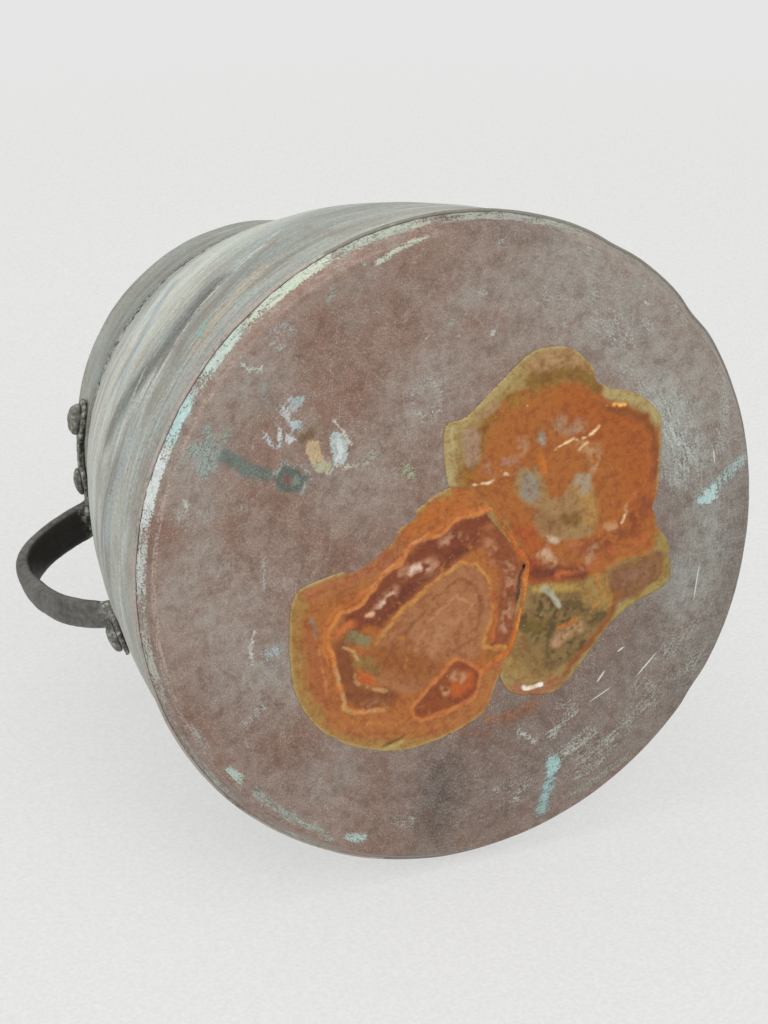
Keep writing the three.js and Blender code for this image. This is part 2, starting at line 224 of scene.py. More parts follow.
def pan_copper():
    """Beaten copper sheet with brown oxide: satin, mauve to red-brown, scuffed, with lime and verdigris."""
    material, tree, place = new_material("beaten_copper_brown_patina")
    blotch = speckle(tree, place, 34, 6, 0.62)
    brown = add(
        tree,
        "ValToRGB",
        {"Fac": blotch},
        stops=[(0.36, "#9b7a6a"), (0.46, "#a08577"), (0.55, "#a69084"), (0.66, "#a5988e")],
    )
    # Greyer towards the side that was rubbed most, on +X and +Y.
    rubbed = add(tree, "VectorMath", {0: place, 1: (0.9, 0.43, 0)}, operation="DOT_PRODUCT", out="Value")
    brown = flecked(tree, brown, rubbed, -30, 100, 0.62, "#9b9088")
    mottle = speckle(tree, place, 5, 8, 0.72)
    brown = shaded(tree, brown, mottle, [(0.38, "#ddd7d2"), (0.5, "#f5f3f1"), (0.6, "#ffffff")])
    dust = speckle(tree, place, 0.7, 3, 0.7)
    brown = shaded(tree, brown, dust, [(0.36, "#e6e3e0"), (0.5, "#f8f6f5"), (0.62, "#ffffff")])

    # Rubbing and crumbs of lime: grain of about 1 mm in patches of 5 mm, drawn into streaks along the rim.
    crumb = speckle(tree, place, 0.8, 4, 0.72)
    flat = add(tree, "VectorMath", {0: place, 1: (1, 1, 0)}, operation="MULTIPLY")
    out_way = add(tree, "VectorMath", {0: flat}, operation="LENGTH", out="Value")
    sideways = add(tree, "CombineXYZ", {"Z": out_way})
    sideways = add(tree, "VectorMath", {0: flat, 1: (0.12, 0.12, 0), 2: sideways}, operation="MULTIPLY_ADD")
    streak = speckle(tree, sideways, 0.8, 5, 0.7)
    grain = mixed(tree, 0.42, crumb, streak, "FLOAT")
    patches = mixed(tree, 0.45, grain, mottle, "FLOAT")
    skin = flecked(tree, brown, crumb, 0.54, 0.66, 0.24, "#bdb7ae")
    skin = flecked(tree, skin, crumb, 0.46, 0.36, 0.2, "#6f5b50")
    scoured = ranged(tree, mottle, 0.42, 0.58, 0.1, 1)
    # The oxide film has lifted off in flakes of about 9 mm, each with a thin pale edge.
    film = speckle(tree, place, 9, 6, 0.62)
    skin = flecked(tree, skin, film, 0.548, 0.556, 0.34, "#8f6a5a")
    edge = add(tree, "Math", {0: film, 1: 0.55, 2: 0.005}, operation="COMPARE")
    edge = times(tree, edge, 0.4)
    skin = mixed(tree, edge, skin, colour("#c4bdb3"))
    # Hairlines from scouring, 20 mm long, drawn half a millimetre wide so that they show.
    for turn in (24, 114):
        way = {"Vector": place, "Rotation": (0, 0, math.radians(turn)), "Scale": (20, 0.5, 1000)}
        way = add(tree, "Mapping", way, vector_type="TEXTURE")
        line = speckle(tree, way, 1, 1, 0.5)
        skin = flecked(tree, skin, line, 0.7, 0.78, 0.42, "#cdc6be", scoured)
    skin, lime = stains_with_painted_light(tree, skin, grain, patches)
    # Bright and dark points under half a millimetre, from scouring and wear.
    points = speckle(tree, place, 0.55, 2, 0.6)
    skin = flecked(tree, skin, points, 0.56, 0.66, 0.36, "#cfc9c2", scoured)
    skin = flecked(tree, skin, points, 0.43, 0.33, 0.32, "#5c4a41")
    scratch = marks(
        tree,
        place,
        [
            (54.5, 80, 7, 0.4, -26),
            (35.5, 75.3, 3.4, 0.5, -32),
            (46.5, 68.8, 2, 0.5, -10),
            (33, 82.2, 6.5, 0.3, -7),
            (84, 58, 9, 0.3, -62),
            (105.7, 13, 3.6, 0.3, -78),
        ],
    )
    skin = flecked(tree, skin, scratch, 0.05, 0.4, 1.0, "#d9d9d2")

    # Inside, the sheet was tinned and has gone grey.
    facing = add(tree, "NewGeometry", out="Normal")
    upward = add(tree, "SeparateXYZ", {0: facing}, out="Z")
    inner = ranged(tree, upward, 0.3, 0.5)
    tin = add(
        tree, "ValToRGB", {"Fac": blotch}, stops=[(0.35, "#77746e"), (0.5, "#93928d"), (0.65, "#a3a29c")],
    )
    skin = mixed(tree, inner, skin, tin)

    metal = ranged(tree, lime, 0, 1, 0.4, 0.0)
    worn = ranged(tree, mottle, 0.3, 0.7, 0.4, 0.58)
    rough = mixed(tree, lime, worn, 0.85, "FLOAT")
    bump = relief(tree, [(mottle, 0.5), (crumb, 0.4), (lime, 0.8)], 0.5, 0.35)
    return finished(
        material, tree, {"Base Color": skin, "Metallic": metal, "Roughness": rough, "Normal": bump},
    )


def wall_copper(name, tones, seam_shadow_z=None):
    """Raised copper with a grey-green bloom: turning marks and rubbing run round the pot as streaks."""
    material, tree, place = new_material(name)
    # A streak is about 2 mm high and 50 mm long.
    round_way = add(tree, "Mapping", {"Vector": place, "Scale": (1 / 42, 1 / 42, 1 / 1.9)})
    streak = speckle(tree, round_way, 1, 9, 0.74)
    wide_way = add(tree, "Mapping", {"Vector": place, "Scale": (1 / 80, 1 / 80, 1 / 12)})
    wide = speckle(tree, wide_way, 1, 5, 0.6)
    both = mixed(tree, 0.45, streak, wide, "FLOAT")
    stops = list(zip((0.435, 0.478, 0.522, 0.57), tones))
    skin = add(tree, "ValToRGB", {"Fac": both}, stops=stops)
    tint_way = add(
        tree, "Mapping", {"Vector": place, "Location": (7, 3, 5), "Scale": (1 / 70, 1 / 70, 1 / 4.5)},
    )
    tint = speckle(tree, tint_way, 1, 5, 0.62)
    skin = flecked(tree, skin, tint, 0.5, 0.59, 0.42, "#abbbbc")
    skin = flecked(tree, skin, tint, 0.49, 0.41, 0.28, "#c6bcaa")
    cloud = speckle(tree, place, 17, 6, 0.66)
    skin = flecked(tree, skin, cloud, 0.51, 0.62, 0.42, "#b6c9c2")
    skin = flecked(tree, skin, cloud, 0.48, 0.38, 0.3, "#94897f")
    grain = speckle(tree, place, 1.3, 7, 0.8)
    skin = shaded(tree, skin, grain, [(0.38, "#d3d3cd"), (0.5, "#f0f0ed"), (0.6, "#ffffff")])
    skin = flecked(tree, skin, grain, 0.57, 0.66, 0.5, "#d8d9d1")
    drawn = mixed(tree, 0.5, grain, streak, "FLOAT")
    skin, salts = stains_with_painted_light(tree, skin, drawn, grain)
    high = add(tree, "SeparateXYZ", {0: place}, out="Z")
    if seam_shadow_z:
        # Painted shadow, with some soot, in the cramped seam, and just above it a pale band, partly old
        # solder and partly painted glints of the wall's torn edge.
        away = add(tree, "Math", {0: high, 1: seam_shadow_z}, operation="SUBTRACT")
        near = ranged(tree, away, 6.4, 2.0)
        seam_break = speckle(tree, place, 2.2, 4, 0.7)
        solder_and_glint = ranged(tree, away, 5.5, 3.5, 0, 0.75)
        pale = ranged(tree, seam_break, 0.49, 0.44)
        solder_and_glint = times(tree, solder_and_glint, pale)
        skin = mixed(tree, solder_and_glint, skin, colour("#c9c7bb"))
        near = add(tree, "Math", {0: seam_break, 1: 5.0, 2: near}, operation="MULTIPLY_ADD")
        skin = flecked(tree, skin, near, 3.15, 3.4, 0.92, "#24221f")
    # Inside, the sheet was tinned and has gone grey.
    facing = add(tree, "NewGeometry", out="Normal")
    flat = add(tree, "VectorMath", {0: place, 1: (1, 1, 0)}, operation="MULTIPLY")
    outward = add(tree, "VectorMath", {0: flat, 1: facing}, operation="DOT_PRODUCT", out="Value")
    inner = ranged(tree, outward, -5, -30)
    tin = add(
        tree, "ValToRGB", {"Fac": both}, stops=[(0.38, "#6f6c66"), (0.5, "#8f8e89"), (0.62, "#a6a5a0")],
    )
    skin = mixed(tree, inner, skin, tin)
    rough = ranged(tree, streak, 0.3, 0.7, 0.4, 0.6)
    metal = ranged(tree, salts, 0, 1, 0.4, 0.05)
    bump = relief(tree, [(streak, 0.8), (grain, 0.5)], 0.45, 0.3)
    return finished(
        material, tree, {"Base Color": skin, "Metallic": metal, "Roughness": rough, "Normal": bump},
    )


def forged_iron():
    """Hand-forged iron: black inside the grip with painted shade and some soot, greyed by handling outside,
    pitted at the feet.
    """
    material, tree, place = new_material("forged_iron_black_oxide")
    cloud = speckle(tree, place, 12, 6, 0.62)
    pits = speckle(tree, place, 2.2, 6, 0.72)
    both = mixed(tree, 0.5, pits, cloud, "FLOAT")
    skin = add(
        tree,
        "ValToRGB",
        {"Fac": both},
        stops=[(0.36, "#4c4945"), (0.45, "#5d5b56"), (0.54, "#6d6b65"), (0.66, "#807e77")],
    )
    # Painted shade, with some soot, inside the grip.
    soot_and_shade = add(tree, "Attribute", attribute_name="soot_and_shade", out="Fac")
    skin = mixed(tree, soot_and_shade, skin, colour("#262220"))
    worn = add(tree, "NewGeometry", out="Pointiness")
    skin = flecked(tree, skin, worn, 0.52, 0.6, 0.4, "#989690")
    # Lime and old solder lie over the feet.
    lime = add(tree, "Attribute", attribute_name="lime", out="Fac")
    skin = flecked(tree, skin, pits, 0.45, 0.53, 0.8, "#8f8f85", lime)
    skin = flecked(tree, skin, pits, 0.55, 0.61, 0.9, "#d0d0c6", lime)
    rough = ranged(tree, pits, 0.3, 0.7, 0.62, 0.44)
    bump = add(tree, "Bump", {"Strength": 0.4, "Distance": 0.35 * MM, "Height": pits})
    return finished(
        material, tree, {"Base Color": skin, "Metallic": 0.4, "Roughness": rough, "Normal": bump},
    )


def amber_resin():
    """Poured and set resin over copper: clear amber, darker where thick, wet gloss, flecked with bubbles."""
    material, tree, place = new_material("poured_resin_amber")
    tint = add(tree, "Attribute", attribute_name="tint", out="Color")
    cloud = speckle(tree, place, 3, 7, 0.7)
    skin = shaded(tree, tint, cloud, [(0.4, "#e3cdb4"), (0.5, "#f8f1e9"), (0.6, "#ffffff")])
    fleck = add(tree, "TexVoronoi", {"Vector": place, "Scale": 1 / 3.4, "Randomness": 1.0})
    fleck = ranged(tree, fleck, 0.12, 0.06)
    some = ranged(tree, cloud, 0.55, 0.62, 0, 0.8)
    fleck = times(tree, fleck, some)
    skin = mixed(tree, fleck, skin, colour("#dcb98c"))
    # Dust and bubbles under a millimetre that set in the skin.
    dust = speckle(tree, place, 0.8, 3, 0.65)
    skin = flecked(tree, skin, dust, 0.4, 0.3, 0.45, "#5a3413")
    skin = flecked(tree, skin, dust, 0.62, 0.72, 0.3, "#d9a877")
    bump = add(tree, "Bump", {"Strength": 0.3, "Distance": 0.4 * MM, "Height": cloud})
    return finished(material, tree, {"Base Color": skin, "Roughness": 0.2, "IOR": 1.52, "Normal": bump})


def keep(bm, name, material, slot, *nodes):
    """Makes the finished mesh a piece that rides on the pot and stands for its solids."""
    mesh = bpy.data.meshes.new(name)
    bm.to_mesh(mesh)
    bm.free()
    mesh.shade_smooth()
    mesh.materials.append(material)
    piece = bpy.data.objects.new(name, mesh)
    bpy.context.scene.collection.objects.link(piece)
    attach(piece, "root")
    if nodes:
        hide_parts(*nodes)
    return piece


def bent(start, middle, end, count):
    """Points of a simple bent line, as the raised wall's side is."""
    points = []
    for i in range(count + 1):
        t = i / count
        a, b, c = (1 - t) ** 2, 2 * t * (1 - t), t * t
        points.append(tuple(a * p + b * q + c * r for p, q, r in zip(start, middle, end)))
    return points


def spaced(corners, step):
    """The same line with points no further apart than the step."""
    points = [corners[0]]
    for (r0, z0), (r1, z1) in zip(corners, corners[1:]):
        count = max(1, math.ceil(math.hypot(r1 - r0, z1 - z0) / step))
        points += [(r0 + (r1 - r0) * i / count, z0 + (z1 - z0) * i / count) for i in range(1, count + 1)]
    return points


def beside(points, distance):
    """The line moved sideways, outwards where it runs upwards."""
    moved = []
    for i, (r, z) in enumerate(points):
        (r0, z0), (r1, z1) = points[max(i - 1, 0)], points[min(i + 1, len(points) - 1)]
        length = math.hypot(r1 - r0, z1 - z0)
        moved.append((r + distance * (z1 - z0) / length, z - distance * (r1 - r0) / length))
    return moved


def radius_at(points, z):
    """Radius of a side line at a height."""
    for (r0, z0), (r1, z1) in zip(points, points[1:]):
        if z <= z1:
            return r0 + (r1 - r0) * (z - z0) / (z1 - z0)
    return points[-1][0]


def closed_line(corners, per_side):
    """A smooth closed line through given corners."""
    count = len(corners)
    points = []
    for i in range(count):
        p0, p1, p2, p3 = (np.array(corners[(i + k) % count], float) for k in (-1, 0, 1, 2))
        for j in range(per_side):
            t = j / per_side
            square = (2 * p0 - 5 * p1 + 4 * p2 - p3) * t**2
            cube = (3 * p1 - p0 - 3 * p2 + p3) * t**3
            points.append(0.5 * (2 * p1 + (p2 - p0) * t + square + cube))
    return np.array(points)


def nearest(points, line, closed):
    """Distance of each point to a line, its nearest place there, and whether a closed line holds it."""
    line = np.asarray(line if len(line) > 1 else line * 2, float)
    ends = np.roll(line, -1, axis=0) if closed else line[1:]
    starts = line if closed else line[:-1]
    best = np.full(len(points), 1e9)
    foot = np.zeros_like(points)
    inside = np.zeros(len(points), bool)
    for a, b in zip(starts, ends):
        way = b - a
        share = np.clip(((points - a) @ way) / max(way @ way, 1e-9), 0, 1)
        near = a + share[:, None] * way
        gap = np.hypot(*(points - near).T)
        closer = gap < best
        best[closer] = gap[closer]
        foot[closer] = near[closer]
        if closed and a[1] != b[1]:
            crosses = (a[1] > points[:, 1]) != (b[1] > points[:, 1])
            at = a[0] + (points[:, 1] - a[1]) * way[0] / way[1]
            inside ^= crosses & (points[:, 0] < at)
    return best, foot, inside


def ease(value, low, high):
    """A smooth step from 0 at low to 1 at high."""
    t = np.clip((value - low) / (high - low), 0, 1)
    return t * t * (3 - 2 * t)


def stroke(points, line, wide, soft, filled=False):
    """How far a stroke along a line covers each point, 0 to 1; a filled one covers its inside too."""
    away, _, within = nearest(points, line, filled)
    away = np.where(within, -away, away)
    return 1 - ease(away, wide - soft, wide + soft)


def ripple(points, size, seed):
    """Smooth noise of a given size in mm, about -1 to 1."""
    return np.array([noise.noise(Vector((x / size, y / size, seed))) for x, y in points])


def paint(bm, points, stains, shades, plain, veils=()):
    """Lays stains, painted highlights and painted shadows on a sheet: colour and cover in "stain", smooth
    darkening in "shade", some of it painted shadow and a painted reflection, bloom in "veil".

    A stain's line that ends where it began is filled.
    """
    shake = np.c_[ripple(points, 6, 1), ripple(points, 6, 5)]
    shake += np.c_[ripple(points, 2, 2), ripple(points, 2, 8)] * 0.6
    strayed = points + shake
    shown = np.zeros((len(points), 4))
    shown[:, :3] = colour(plain)[:3]
    for code, line, wide, soft, cover in stains:
        filled = len(line) > 2 and line[0] == line[-1]
        strength = cover * stroke(strayed, line[:-1] if filled else line, wide, soft, filled)
        stronger = strength > shown[:, 3]
        shown[stronger, :3] = colour(code)[:3]
        shown[stronger, 3] = strength[stronger]
    dark = np.zeros(len(points))
    for line, wide, soft, depth in shades:
        dark += depth * stroke(strayed, line, wide, soft)
    thin = np.zeros(len(points))
    for line, wide, soft, cover in veils:
        thin = np.maximum(thin, cover * stroke(strayed, line, wide, soft))
    stain_and_light = bm.verts.layers.float_color.new("stain_and_light")
    shade = bm.verts.layers.float.new("shade")
    veil = bm.verts.layers.float.new("veil")
    for v, s, d, t in zip(bm.verts, shown, dark, thin):
        v[stain_and_light] = s
        v[shade] = d
        v[veil] = t


WALL_FACE = bent(WALL_FOOT, WALL_SWELL, WALL_TOP, 84)
NECK_FACE = spaced([NECK_FOOT, NECK_TOP], 1.6)


def turned(outline, steps=ROUND_STEPS, closed=True):
    """A mesh turned about Z from a line of radius and height in mm: a spun wedge, doubled to a round."""
    bm = bmesh.new()
    line = [bm.verts.new((r * MM, 0, z * MM)) for r, z in outline]
    edges = [bm.edges.new(pair) for pair in zip(line, line[1:])]
    if closed:
        edges.append(bm.edges.new((line[-1], line[0])))
    turn = FULL_TURN / WEDGES
    bmesh.ops.spin(bm, geom=line + edges, axis=(0, 0, 1), cent=(0, 0, 0), angle=turn, steps=steps // WEDGES)
    while turn < 0.99 * FULL_TURN:
        copy = bmesh.ops.duplicate(bm, geom=bm.verts[:] + bm.edges[:] + bm.faces[:])
        fresh = [g for g in copy["geom"] if isinstance(g, bmesh.types.BMVert)]
        bmesh.ops.rotate(bm, cent=(0, 0, 0), matrix=Matrix.Rotation(turn, 3, "Z"), verts=fresh)
        turn *= 2
    bmesh.ops.remove_doubles(bm, verts=bm.verts, dist=0.004 * MM)
    bmesh.ops.recalc_face_normals(bm, faces=bm.faces)
    return bm


# Knocks in the side: azimuth in degrees, height, half width in degrees, half height, depth.
KNOCKS = [
    (-40, 6, 4, 14, 0.8),
    (-19, 5, 3.5, 12, 1.1),
    (55, 5, 3, 12, 0.7),
    (63, 40, 12, 30, 1.2),
    (150, 95, 14, 25, 1.0),
    (-75, 60, 16, 30, 0.8),
]


def waver(azimuth, z):
    """How far the beaten sheet stands off a true round, in mm."""
    around = Vector((math.cos(azimuth), math.sin(azimuth), 0))
    total = 0.75 * noise.noise(around * 1.3 + Vector((3, 5, z / 90)))
    total += 0.28 * noise.noise(around * 5.5 + Vector((1, 8, z / 21)))
    total += 0.1 * noise.noise(around * 14 + Vector((9, 2, z / 8)))
    for at, height, wide, tall, depth in KNOCKS:
        turn = (math.degrees(azimuth) - at + 180) % 360 - 180
        total -= depth * math.exp(-((turn / wide) ** 2) - ((z - height) / tall) ** 2)
    return total


def beat(bm):
    """Moves every point of a turned sheet off the true round."""
    for v in bm.verts:
        r = math.hypot(v.co.x, v.co.y)
        if r < 1e-6:
            continue
        k = 1 + waver(math.atan2(v.co.y, v.co.x), v.co.z / MM) * MM / r
        v.co.x *= k
        v.co.y *= k


def notch(azimuth):
    """Depth of the torn teeth in the wall's upper edge, about 3 mm apart."""
    along = Vector((math.cos(azimuth), math.sin(azimuth), 0)) * WALL_TOP[0]
    wide = noise.noise(along / 2.9)
    fine = noise.noise(along / 1.4 + Vector((0, 0, 6)))
    return 1.9 * max(0.0, wide + 0.1) + 0.9 * max(0.0, fine)


# Stains on the wall, with a painted highlight and painted shade on the lip: colour, line of azimuth in
# degrees and height in mm, half width, softness, cover.
WALL_STAINS_AND_LIGHT = [
    # The lip: a painted highlight on its edge from azimuth 126° to 262°, and painted shade with some dirt on
    # the rest.
    ("#b9aba0", [(126, 9.2), (262, 9.2)], 1.3, 0.7, 0.86),
    ("#8a867c", [(0, 9.2), (122, 9.2)], 1.7, 0.7, 0.8),
    ("#8b867c", [(266, 9.2), (360, 9.2)], 1.7, 0.7, 0.85),
    ("#b9a79d", [(185, 18), (225, 20), (262, 18)], 9, 8, 0.4),
    ("#d2d3ca", [(205, 22), (235, 26), (262, 24)], 9, 8, 0.3),
    ("#8fb9ac", [(242.5, 36), (244.5, 39)], 2.6, 2.2, 0.75),
    ("#b4c4c4", [(200, 30), (214, 32), (226, 26)], 9, 8, 0.45),
    ("#b4c4c4", [(176, 60), (190, 50)], 9, 8, 0.42),
    ("#d3d1c5", [(215, 40), (235, 50), (254, 62)], 1.6, 1.6, 0.66),
    ("#d0cfc6", [(222, 62), (238, 74), (252, 98)], 1.2, 1.2, 0.66),
    ("#b2c0c4", [(228, 96), (240, 108), (250, 124)], 5, 4, 0.64),
    ("#d0d3d1", [(216, 66), (224, 62), (232, 52)], 4, 3.8, 0.56),
    ("#b3c3c6", [(200, 60), (212, 50), (222, 42)], 5, 4.5, 0.68),
    ("#dadbd3", [(256, 62), (264, 70), (270, 82)], 1.4, 1.3, 0.68),
    ("#aebdc0", [(258, 70), (266, 80), (274, 94)], 2.4, 2, 0.7),
    ("#cfcdc0", [(204, 92), (216, 90), (228, 84)], 1.2, 0.9, 0.82),
    ("#cfcdc0", [(196, 76), (206, 72), (214, 68)], 1.2, 1, 0.82),
    ("#8c8a82", [(196, 70), (208, 64), (216, 58)], 1.6, 1.4, 0.74),
    ("#8c8a82", [(206, 86), (216, 83), (226, 78)], 1.3, 1, 0.72),
    ("#8e8c84", [(248, 44), (258, 54), (266, 66)], 1.4, 1.2, 0.72),
    ("#9b8f80", [(238, 44), (246, 48), (254, 52)], 4, 3.5, 0.62),
    ("#c3b7a2", [(240, 28), (250, 34), (258, 40)], 5, 4.5, 0.62),
    ("#cfcec3", [(180, 56), (180, 84)], 14, 9, 0.6),
    ("#dcdcd3", [(208, 104), (222, 112), (236, 126)], 1.2, 1, 0.8),
    ("#d9d9d0", [(244, 84), (252, 94), (260, 110)], 1, 0.8, 0.8),
    ("#d6d8d2", [(186, 96), (198, 92), (208, 84)], 1, 0.8, 0.8),
    ("#d9dad2", [(184, 42), (196, 36), (206, 28)], 1.2, 1, 0.8),
    ("#8b8981", [(228, 118), (240, 128), (250, 140)], 1.2, 1, 0.7),
    ("#8f8c84", [(190, 88), (202, 82), (212, 76)], 1.1, 1, 0.7),
]
# Smooth darker bands on the wall, one of them a painted reflection, or lighter ones: line, half width,
# softness, depth.
WALL_SHADES = [
    ([(214, 74), (222, 60), (228, 52)], 8, 7, -0.12),
    # A painted reflection: a smooth dark band running diagonally across the side.
    ([(252, 67), (247, 63.5), (242, 62), (237, 60), (231, 66), (225, 75), (218, 82)], 6.5, 4, 0.52),
    ([(222, 92), (236, 104), (250, 124)], 2, 1.8, 0.22),
    ([(175, 24), (190, 26)], 3, 2.5, 0.15),
    ([(160, 116), (215, 112), (245, 114), (262, 122), (288, 138)], 28, 16, -0.42),
    ([(258, 45), (272, 58), (290, 70)], 16, 12, 0.14),
]
WALL_MM_PER_DEGREE = 2


def unrolled(bm):
    """Every point of a turned sheet as if rolled out flat, in mm."""
    places = []
    for v in bm.verts:
        turn = math.degrees(math.atan2(v.co.y, v.co.x)) % 360
        places.append((turn * WALL_MM_PER_DEGREE, v.co.z / MM))
    return np.array(places)


def laid_out(strokes, at):
    """The strokes with their azimuths as mm on the rolled out sheet; at is where a stroke keeps its line."""
    flat = []
    for stroke in strokes:
        line = [(turn * WALL_MM_PER_DEGREE, z) for turn, z in stroke[at]]
        flat.append((*stroke[:at], line, *stroke[at + 1 :]))
    return flat


def make_wall(material):
    """The raised side: flared lip below, torn and soldered teeth along its top."""
    lip = [(123.5, 8.7), (124.1, 8.45), (124.8, 8.6), (125, 9.1)]
    lip += [(124.75, 10.0), (124.2, 11.0), (123.6, 11.8)]
    back = beside(WALL_FACE, -WALL_SHEET)[::-4]
    top = [(WALL_TOP[0] - 0.5, WALL_TOP[1] + 0.25), (WALL_TOP[0] - 1.1, WALL_TOP[1] + 0.25)]
    face = WALL_FACE[:-4] + spaced(WALL_FACE[-4:], 0.7)
    bm = turned(lip + face + top + back + [(122.6, 10.4)], WALL_STEPS)
    paint(bm, unrolled(bm), laid_out(WALL_STAINS_AND_LIGHT, 1), laid_out(WALL_SHADES, 0), "#b9b9b0")
    stain_and_light = bm.verts.layers.float_color["stain_and_light"]
    # On the torn teeth: painted shadow, with some soot, in the notches, and a painted glint, with some
    # solder, on the edge between them.
    soot_and_shade = colour("#262421")[:3]
    solder_and_glint = colour("#d9d7cd")[:3]
    for v in bm.verts:
        z = v.co.z / MM
        if z > TEETH_Z:
            depth = notch(math.atan2(v.co.y, v.co.x))
            black = float(ease(depth, 0.5, 1.2) * ease(z, 156.0, 156.9))
            bright = float((1 - ease(depth, 0.02, 0.25)) * ease(z, 156.0, 157.0))
            v[stain_and_light] = (*soot_and_shade, 1.1 * black) if black > bright else (*solder_and_glint, 0.8 * bright)
            v.co.z -= MM * depth * min(1, (z - TEETH_Z) / TEETH_H) ** 2
    beat(bm)
    return keep(bm, "copper_wall", material, "copper_wall", "body_wall")


# Lime and verdigris in the groove at the rim: azimuth, half width in degrees, cover, colour.
CRUST = [
    (299, 22, 0.86, "#a9aca1"),
    (275, 14, 0.86, "#b7bfaf"),
    (258, 14, 0.95, "#d2dcc9"),
    (242, 9, 0.92, "#cbdbd0"),
    (229, 6, 1.0, "#c3e2de"),
    (217, 9, 1.08, "#e4ece8"),
    (203, 9, 0.8, "#d0d7d0"),
    (186, 14, 0.7, "#c4c6bc"),
    (162, 14, 0.62, "#b6beb4"),
    (140, 12, 0.66, "#afbbb1"),
    (110, 25, 0.52, "#a3aca2"),
    (40, 40, 0.42, "#9aa79d"),
    (330, 25, 0.5, "#9da297"),
]
LIME = "#c0c8c5"
# A thin bloom over parts of the base: line in mm, half width, softness, cover.
BASE_VEILS = [
    ([(98, 36), (90, 50), (80, 58)], 13, 11, 0.6),
    ([(-92, -46), (-88, -36)], 8, 7, 0.34),
    ([(72, -78), (92, -42), (104, 0), (101, 45), (82, 84)], 24, 20, 0.32),
    ([(93, -15), (94, 0), (96, 10)], 13, 11, 0.66),
    ([(76, -74), (80, -56), (86, -44), (88, -24)], 10, 9, 0.2),
    ([(30, -97), (60, -82)], 18, 16, 0.1),
    ([(-10, 98), (20, 102), (60, 88)], 14, 12, 0.12),
    ([(-99, -35), (-96, -10), (-88, 14)], 15, 13, 0.26),
    ([(-70, 66), (-30, 90)], 14, 12, 0.06),
    ([(-30, -42), (0, -60), (20, -64)], 13, 12, 0.22),
    ([(-84, -70), (-70, -90), (-50, -100)], 12, 11, 0.25),
]
